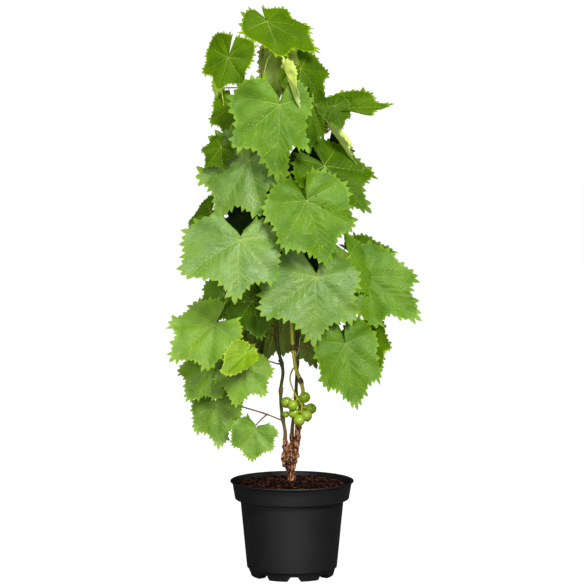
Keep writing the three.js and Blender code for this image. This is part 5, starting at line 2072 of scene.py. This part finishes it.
@dataclass
class Grapes:
    """The cluster of unripe grapes, with its stalk from the right cane."""

    berry: float = 8.3
    start: float = 322
    stalk: tuple[Place, ...] = ((-3, -17, 305), (6, -19, 280), (14, -18, 268), (15, -18, 253))
    berries: tuple[Place, ...] = (
        (19.5, -18, 277), (1, -20, 265), (29, -16, 259.5), (22, -23, 249.5), (11, -25, 242.5),
        (3, -12, 252), (17, -4, 257), (12, -6, 270), (-8.5, -8, 268),
    )
    small: tuple[Ball, ...] = (
        (8, -8, 243, 3.2), (24, -10, 241, 2.6), (-9.5, -8, 249.5, 5.2),
    )

    STEP = 1.5
    STALK = (1.35, 0.35)
    JOINT = (0.35, 0.6, 0.02)
    STEM = 0.62
    STEM_TIP, STEM_FOOT = (0.45, 0.12), (0.25, 0.15)
    STEM_ARCH = 0.8
    STEM_END = 0.86
    ROOT_DROP = -4
    TALLER = 1.05
    UNEVEN = 0.04
    TIP_DIMPLE, FOOT_DIMPLE = (0.06, 0.02), (0.1, 0.03)
    SCAR_FROM = 0.993

    def line(self) -> Array:
        """Return the stalk's middle line."""
        start, clear_of_cane = CANES["right"].leave(self.start, np.array(self.stalk[0], dtype=float))
        return SmoothPath([tuple(start), tuple(clear_of_cane), *self.stalk]).spaced(self.STEP)

    def stalk_radii(self, count: int) -> Array:
        """Return the stalk's radii, with the ring of its joint."""
        share = even_shares(count)
        foot, less = self.STALK
        swell, place, width = self.JOINT
        return foot - less * share + swell * hump(share - place, width)

    def build(self) -> None:
        """Make the berries and their stalks as two pieces."""
        line = self.line()
        stalks, berries = Shape(), Shape()
        stalks.add(*tube(line, self.stalk_radii(len(line)), 10))
        rachis = line[len(line) // 2:]
        points, faces = ball(5)
        polar = points[:, 2]
        dimple = 1 - self.TIP_DIMPLE[0] * hump(1 - polar, self.TIP_DIMPLE[1])
        dimple -= self.FOOT_DIMPLE[0] * hump(1 + polar, self.FOOT_DIMPLE[1])
        scar = np.where(points[faces][:, :, 2].mean(axis=1) > self.SCAR_FROM, 1, 0)
        share = even_shares(9)
        thick = self.STEM + self.STEM_TIP[0] * hump(1 - share, self.STEM_TIP[1])
        thick += self.STEM_FOOT[0] * hump(share, self.STEM_FOOT[1])
        balls = [*((*place, self.berry) for place in self.berries), *self.small]
        for number, (*place, radius) in enumerate(balls):
            middle = np.array(place, dtype=float)
            root = rachis[np.argmin(np.linalg.norm(rachis - middle + UP * self.ROOT_DROP, axis=1))]
            way = unit(middle - root)
            across = unit(np.cross(way, np.array([0.1, 0.2, 1.0])))
            axes = np.stack([across, np.cross(way, across), way])
            size = radius * (1 + self.UNEVEN * math.sin(5 * number))
            stretch = np.array([1.0, 1.0, self.TALLER]) * size
            berries.add((points * dimple[:, None] * stretch) @ axes + middle, faces, scar)
            end = middle - way * radius * self.STEM_END
            arch = np.outer(np.sin(share * math.pi), UP) * self.STEM_ARCH
            stem = root + np.outer(share, end - root) + arch
            stalks.add(*tube(stem, thick * min(1, radius / 5), 8))
        fruit = make_piece("berries", berries, [BERRY, BERRY_SCAR])
        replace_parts(fruit, "grapes")
        make_piece("grape_stalks", stalks, [STALK_YELLOW])


# === Pot and soil ===

PLASTIC = GrainFinish(
    "black_plastic", srgb(5, 5, 5), srgb(3, 3, 3), roughness=0.54, relief=0.12, depth=0.08,
    fine=2600, broad=18, specular=0.6,
)
WET_SOIL = {"roughness": 0.8, "relief": 0.8, "depth": 0.5, "fine": 1400, "specular": 0.05}
SOIL_DARK = GrainFinish("soil_dark", srgb(20, 7, 4), srgb(10, 3, 2), **WET_SOIL)
SOIL_RED = GrainFinish("soil_red", srgb(38, 14, 7), srgb(24, 8, 4), **WET_SOIL)
SOIL_PALE = GrainFinish(
    "soil_fibre", srgb(74, 36, 20), srgb(50, 22, 12), roughness=0.8, relief=0.6, depth=0.3
)


@dataclass
class Pot:
    """The moulded nursery pot: foot with drain notches, slightly flared body, collar and rolled lip."""

    height: float = 147
    rim_radius: float = 95
    wall: float = 1.6
    collar_foot: float = 118.5
    body_top: float = 79.5
    body_foot: float = 69.4
    skirt_top: float = 12.4
    foot_radius: float = 64.7
    floor: float = 2.2
    raised: float = 8.6
    foot_width: float = 14.0
    notches: int = 8
    notch_height: float = 7
    notch_top: float = 12.5
    notch_foot: float = 22
    recess: float = 1.6
    recess_wider: float = 7
    first_notch: float = -87
    beyond: float = 6
    segments: int = 192
    sharp: float = 32

    def profile(self) -> Pairs:
        """Return the outside, the lip and the inside as one line, from the axis back to the axis."""
        foot, body, base = self.foot_radius, self.body_foot, self.skirt_top
        narrow, collar, height = self.body_top, self.collar_foot, self.height
        top, low = self.rim_radius - 3, self.rim_radius - 7
        ring, floor = foot - self.foot_width, self.raised + self.floor
        roll = [math.radians(angle) for angle in range(-80, 171, 25)]
        base_ring = [
            (0, self.raised), (ring - 3, self.raised), (ring - 1, self.raised - 1), (ring, 0.3),
            (ring + 0.5, 0), (foot - 2, 0), (foot - 0.8, 0.9), (foot - 0.1, 2.2), (foot + 0.2, 4),
        ]
        skirt = [
            (body - 2.6, base - 1.6), (body - 1.9, base - 0.5), (body - 0.7, base + 0.1),
            (body - 0.1, base + 0.9), (body + 0.1, base + 2.4),
        ]
        wall = [(mix(body, narrow, share), mix(base, collar, share)) for share in (0.3, 0.6)]
        step = [
            (narrow - 0.2, collar - 3.2), (narrow + 0.1, collar - 1.6), (narrow + 1.2, collar - 0.7),
            (low - 3.2, collar - 0.3), (low - 1.2, collar + 0.1), (low - 0.2, collar + 1.2),
            (low + 0.1, collar + 3), (mix(low, top, 0.5), mix(collar, height, 0.5)),
        ]
        lip = [
            (top - 0.3, height - 4.4), (top + 0.5, height - 3.0),
            *((self.rim_radius - 1.0 + math.cos(a), height - 1.2 + 1.15 * math.sin(a)) for a in roll),
            (top - self.wall + 0.4, height - 1.6), (top - self.wall - 0.1, height - 4),
        ]
        inside = [
            (low - self.wall, collar + 2.2), (narrow - self.wall + 1.5, collar + 1.2),
            (narrow - self.wall, collar), (body - self.wall - 0.3, base + 1),
            (body - self.wall - 1.5, floor), (0, floor),
        ]
        return base_ring + skirt + wall + step + lip + inside

    def wedges(self, inner: float, wider: float, height: float) -> Piece:
        """Return the wedges that cut the drain notches, one for each.

        Args:
            inner: How near to the pot's axis they reach.
            wider: How much wider than the notch they are.
            height: How high they cut.

        Returns:
            One object that holds them all.
        """
        shape = Shape()
        half_top, half_foot = (self.notch_top + wider) / 2, (self.notch_foot + wider) / 2
        low = [(half_foot + 2, -1), (half_foot - 1, 0.6)]
        right = [*low, (half_top, height - 1), (half_top - 1.2, height)]
        section = [(-half_foot - 2, -1), *right, *((-across, up) for across, up in right[:0:-1])]
        count = len(section)
        caps = np.array([[0, i, i + 1, -1] for i in range(1, count - 1)])
        far_caps = np.where(caps >= 0, caps + count, -1)
        faces = np.concatenate([ring_faces(2, count), turned_over(caps), far_caps])
        for k in range(self.notches):
            bearing = math.radians(self.first_notch + 360 / self.notches * k)
            out = compass(bearing)
            side = np.cross(UP, out)
            rows = [
                out * reach + side * across + UP * up
                for reach in (inner, self.foot_radius + self.beyond)
                for across, up in section
            ]
            shape.add(np.array(rows), faces)
        return linked("notch_wedges", shape.mesh("notch_wedges"))

    def build(self) -> Piece:
        """Make the pot as one piece that stands for the CAD pot."""
        shape = Shape()
        shape.add(*turned(self.profile(), self.segments))
        piece = make_piece("pot_shell", shape, [PLASTIC])
        through = self.wedges(self.foot_radius - self.foot_width - 4, 0, self.notch_height)
        around = self.wedges(self.foot_radius - self.recess, self.recess_wider, self.notch_height + 0.6)
        for cutter in (through, around):
            cut = piece.modifiers.new("drain_notches", "BOOLEAN")
            cut.operation = "DIFFERENCE"
            cut.solver = "MANIFOLD"
            cut.object = cutter
        made = settled(piece)
        piece.modifiers.clear()
        piece.data = made
        made.materials.clear()
        made.materials.append(PLASTIC.material())
        made.polygons.foreach_set("material_index", np.zeros(len(made.polygons), dtype=np.int32))
        soften(made, self.sharp)
        for cutter in (through, around):
            bpy.data.objects.remove(cutter)
        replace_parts(piece, "pot")
        return piece


@dataclass
class Soil:
    """The damp potting soil: a low mound with crumbs and short fibres on it."""

    edge: float = 139.0
    middle: float = 146.4
    radius: float = 89.5
    crumbs: int = 1700
    crumb: Pair = (0.6, 1.3)
    fibres: int = 420
    fibre: Pair = (3, 9)
    tones: tuple[float, float, float] = (0.56, 0.4, 0.04)
    seed: int = 8

    MOUND = 1.7
    RINGS, SEGMENTS = 84, 260
    EDGE_GAP, CRUMB_GAP, FIBRE_GAP = 1.6, 4.5, 9
    ROUGH = ((1.2, 14, 1), (0.9, 5, 2), (1.1, 2.2, 3))
    ROUGH_SINK = 0.6
    PLUG = ((86.0, 130.0), (84.8, 121.0), (77.2, 119.0), (68.0, 15.0))
    LUMPY, LUMP_CELL = 0.4, 0.9
    STRETCH = (0.55, 1.5)
    CRUMB_LIFT, CRUMB_PLAY = 0.25, (-0.6, 0.5)
    FIBRE_LIFT, FIBRE_SLOPE, FIBRE_BEND = 0.9, (-0.15, 0.25), 1.2
    FIBRE_RADII, FIBRE_PLAY = (0.15, 0.3, 0.35, 0.32, 0.25, 0.12), (0.7, 1.5)

    def level(self, radius: Array) -> Array:
        """Return the mound's height at each distance from the middle."""
        share = np.clip(radius / self.radius, 0, 1)
        return self.edge + (self.middle - self.edge) * (1 - share**self.MOUND)

    def bed(self) -> Shape:
        """Return the mound: a rough top over a plain plug that fills the pot."""
        count = self.SEGMENTS
        reach = np.linspace(0.02, 1, self.RINGS) * (self.radius - self.EDGE_GAP)
        angle = even_angles(count)
        x = np.outer(reach, np.cos(angle)).ravel()
        y = np.outer(reach, np.sin(angle)).ravel()
        flat = np.column_stack([x, y, np.zeros(len(x))])
        rough = sum(height * lattice_noise(flat, cell, seed) for height, cell, seed in self.ROUGH)
        top = np.column_stack([x, y, self.level(np.hypot(x, y)) + rough - self.ROUGH_SINK])
        walls = [
            np.column_stack([radius * np.cos(angle), radius * np.sin(angle), np.full(count, z)])
            for radius, z in self.PLUG
        ]
        points = np.concatenate([[UP * self.middle], top, *walls, [UP * self.PLUG[-1][1]]])
        rings = self.RINGS + len(self.PLUG)
        sheet = ring_faces(rings, count, 1)[:, ::-1]
        middle = fan_faces(0, 1, count)
        under = fan_faces(len(points) - 1, 1 + (rings - 1) * count, count, flip=True)
        shape = Shape()
        shape.add(points, np.concatenate([sheet, middle, under]))
        return shape

    def litter(self) -> Shape:
        """Return the loose crumbs and fibres, each sunk a little in the mound."""
        dice = np.random.default_rng(self.seed)
        shape = Shape()
        points, faces = ball(2)
        for _ in range(self.crumbs):
            size = self.crumb[0] + self.crumb[1] * dice.random() ** 3
            reach = (self.radius - self.CRUMB_GAP) * math.sqrt(dice.random())
            bearing = dice.uniform(0, 2 * math.pi)
            noise = lattice_noise(points + dice.uniform(0, 90, 3), self.LUMP_CELL, 4)
            lumpy = points * (1 + self.LUMPY * noise)[:, None]
            axes, _ = np.linalg.qr(dice.normal(size=(3, 3)))
            stretch = dice.uniform(*self.STRETCH, 3) * size
            lift = self.CRUMB_LIFT * size
            z = float(self.level(np.array(reach))) + lift + dice.uniform(*self.CRUMB_PLAY)
            tone = int(dice.choice(3, p=self.tones))
            shape.add((lumpy * stretch) @ axes + compass(bearing, reach, z), faces, tone)
        for _ in range(self.fibres):
            reach = (self.radius - self.FIBRE_GAP) * math.sqrt(dice.random())
            bearing, heading = dice.uniform(0, 2 * math.pi, 2)
            length = dice.uniform(*self.fibre)
            way = compass(heading, height=dice.uniform(*self.FIBRE_SLOPE))
            middle = compass(bearing, reach, float(self.level(np.array(reach))) + self.FIBRE_LIFT)
            bend = np.cross(way, UP) * dice.uniform(-self.FIBRE_BEND, self.FIBRE_BEND)
            path = bezier(middle - way * length / 2, middle + bend, middle + way * length / 2, 5)
            radii = np.array(self.FIBRE_RADII) * dice.uniform(*self.FIBRE_PLAY)
            shape.add(*tube(path, radii, 5), 2)
        return shape

    def build(self) -> None:
        """Make the mound, which stands for the CAD soil, and the litter on it."""
        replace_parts(make_piece("soil_bed", self.bed(), [SOIL_DARK]), "soil")
        make_piece("soil_litter", self.litter(), [SOIL_DARK, SOIL_RED, SOIL_PALE])


# === Stage, light and camera ===

@dataclass
class Studio:
    """A plain pale floor, soft lights and the camera, in metres."""

    floor_radius: float = 14.0
    floor_sides: int = 96
    floor_gap: float = 0.0003
    floor_grey: Colour = (0.05, 0.05, 0.05)
    floor_glow: float = 1.0
    world_seen: float = 1.1
    world_light: float = 0.03
    camera_place: Place = (0.0, -4.2, 0.8)
    camera_target: Place = (0.0, 0.0, 0.437)
    lens: float = 170.0
    sensor: float = 36.0
    lights: tuple[tuple[str, Place, float, float], ...] = (
        ("key", (1.1, -2.7, 2.4), 1.2, 142.0),
        ("fill", (-1.8, -3.0, 1.3), 1.0, 38.0),
        ("low", (0.25, -3.7, 0.42), 0.6, 24.0),
        ("top", (-0.3, -0.6, 2.8), 1.0, 16.0),
        ("back_left", (-2.9, 1.5, 1.5), 1.4, 80.0),
        ("back_right", (2.9, 1.5, 1.5), 1.4, 80.0),
        ("back", (0.3, 3.2, 1.9), 1.4, 100.0),
    )

    def floor(self) -> None:
        """Make the floor: one round sheet just under the pot, white where it is seen."""
        count = self.floor_sides
        angle = even_angles(count)
        ring = np.column_stack([np.cos(angle), np.sin(angle), np.zeros(count)]) * self.floor_radius / MM
        shape = Shape()
        shape.add(np.concatenate([[[0, 0, 0]], ring]), fan_faces(0, 1, count))
        floor = linked("floor", shape.mesh("floor"))
        floor.location.z = -self.floor_gap
        made = bpy.data.materials.new("floor_white")
        wiring = cleared(made)
        seen = wiring.add("LightPath").outputs["Is Camera Ray"]
        shader = wiring.add("BsdfPrincipled", {
            "Base Color": self.floor_grey,
            "Roughness": 0.9,
            "Emission Color": wiring.blend(seen, (0, 0, 0), (1, 1, 1)),
            "Emission Strength": self.floor_glow,
        })
        wiring.add("OutputMaterial", {"Surface": shader.outputs[0]})
        floor.data.materials.append(made)
        floor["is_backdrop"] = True

    def world(self) -> None:
        """Set a white world that is seen brighter than it lights."""
        world = bpy.data.worlds.new("studio")
        bpy.context.scene.world = world
        wiring = cleared(world)
        seen = wiring.add("LightPath").outputs["Is Camera Ray"]
        strength = wiring.spread(seen, 0, 1, self.world_light, self.world_seen)
        background = wiring.add("Background", {"Color": (1.0, 1.0, 1.0), "Strength": strength})
        wiring.add("OutputWorld", {"Surface": background.outputs[0]})

    def lamps(self) -> None:
        """Hang the soft lights, each turned to the plant."""
        for name, place, size, power in self.lights:
            data = bpy.data.lights.new(name, "AREA")
            data.shape = "DISK"
            data.size = size
            data.energy = power
            lamp = linked(name, data)
            lamp.visible_glossy = not name.startswith("back")
            self.set_down(lamp, place)

    def set_down(self, thing: Piece, place: Place) -> None:
        """Put a lamp or camera at a place, turned to the plant."""
        way = unit(np.array(self.camera_target) - np.array(place))
        thing.location = place
        thing.rotation_euler = (math.acos(-way[2]), 0.0, math.atan2(way[1], way[0]) - math.pi / 2)

    def camera(self) -> None:
        """Set the camera."""
        data = bpy.data.cameras.new("camera")
        data.lens = self.lens
        data.sensor_width = self.sensor
        camera = linked("camera", data)
        self.set_down(camera, self.camera_place)
        bpy.context.scene.camera = camera

    def build(self) -> None:
        """Set the whole studio."""
        self.floor()
        self.world()
        self.lamps()
        self.camera()
        view = bpy.context.scene.view_settings
        view.view_transform = "Standard"
        view.look = "None"


# === The whole plant ===

def write_sizes() -> None:
    """Write the CAD box and the dressed plant's box, in metres, as plain lists."""
    boxes = {"cad": cad_box, "visual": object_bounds()}
    boxes = {name: [[float(v) for v in corner] for corner in box] for name, box in boxes.items()}
    log.info("boxes: %s", boxes)


# The canes' finishes: the left and back canes' darker green is painted shade, the right cane's bright
# yellow-green is painted light.
CANE_LOOKS = {"left": (CANE_GREEN_PAINTED_SHADE, 1.15), "right": (CANE_PAINTED_LIGHT, 1.32), "back": (CANE_GREEN_PAINTED_SHADE, 1.1)}
FIRST_LEAF_SEED, SEEDS_A_ZONE = 100, 50


def main() -> None:
    """Build the plant from the pot upward, inside its studio."""
    Studio().build()
    Pot().build()
    Soil().build()
    Trunk().build()
    for name, (finish, stout) in CANE_LOOKS.items():
        CaneSkin(CANES[name], finish, stout).build()
    leaves = Growth().grow()
    log.info("leaves: %d", len(leaves))
    Stalks(leaves).build()
    Tendrils().build()
    Grapes().build()
    for number, zone in enumerate(Zone):
        own = [leaf for leaf in leaves if leaf.spray.zone is zone]
        Foliage(zone, own, FIRST_LEAF_SEED + number * SEEDS_A_ZONE).build()
    write_sizes()


if __name__ == "__main__":
    main()
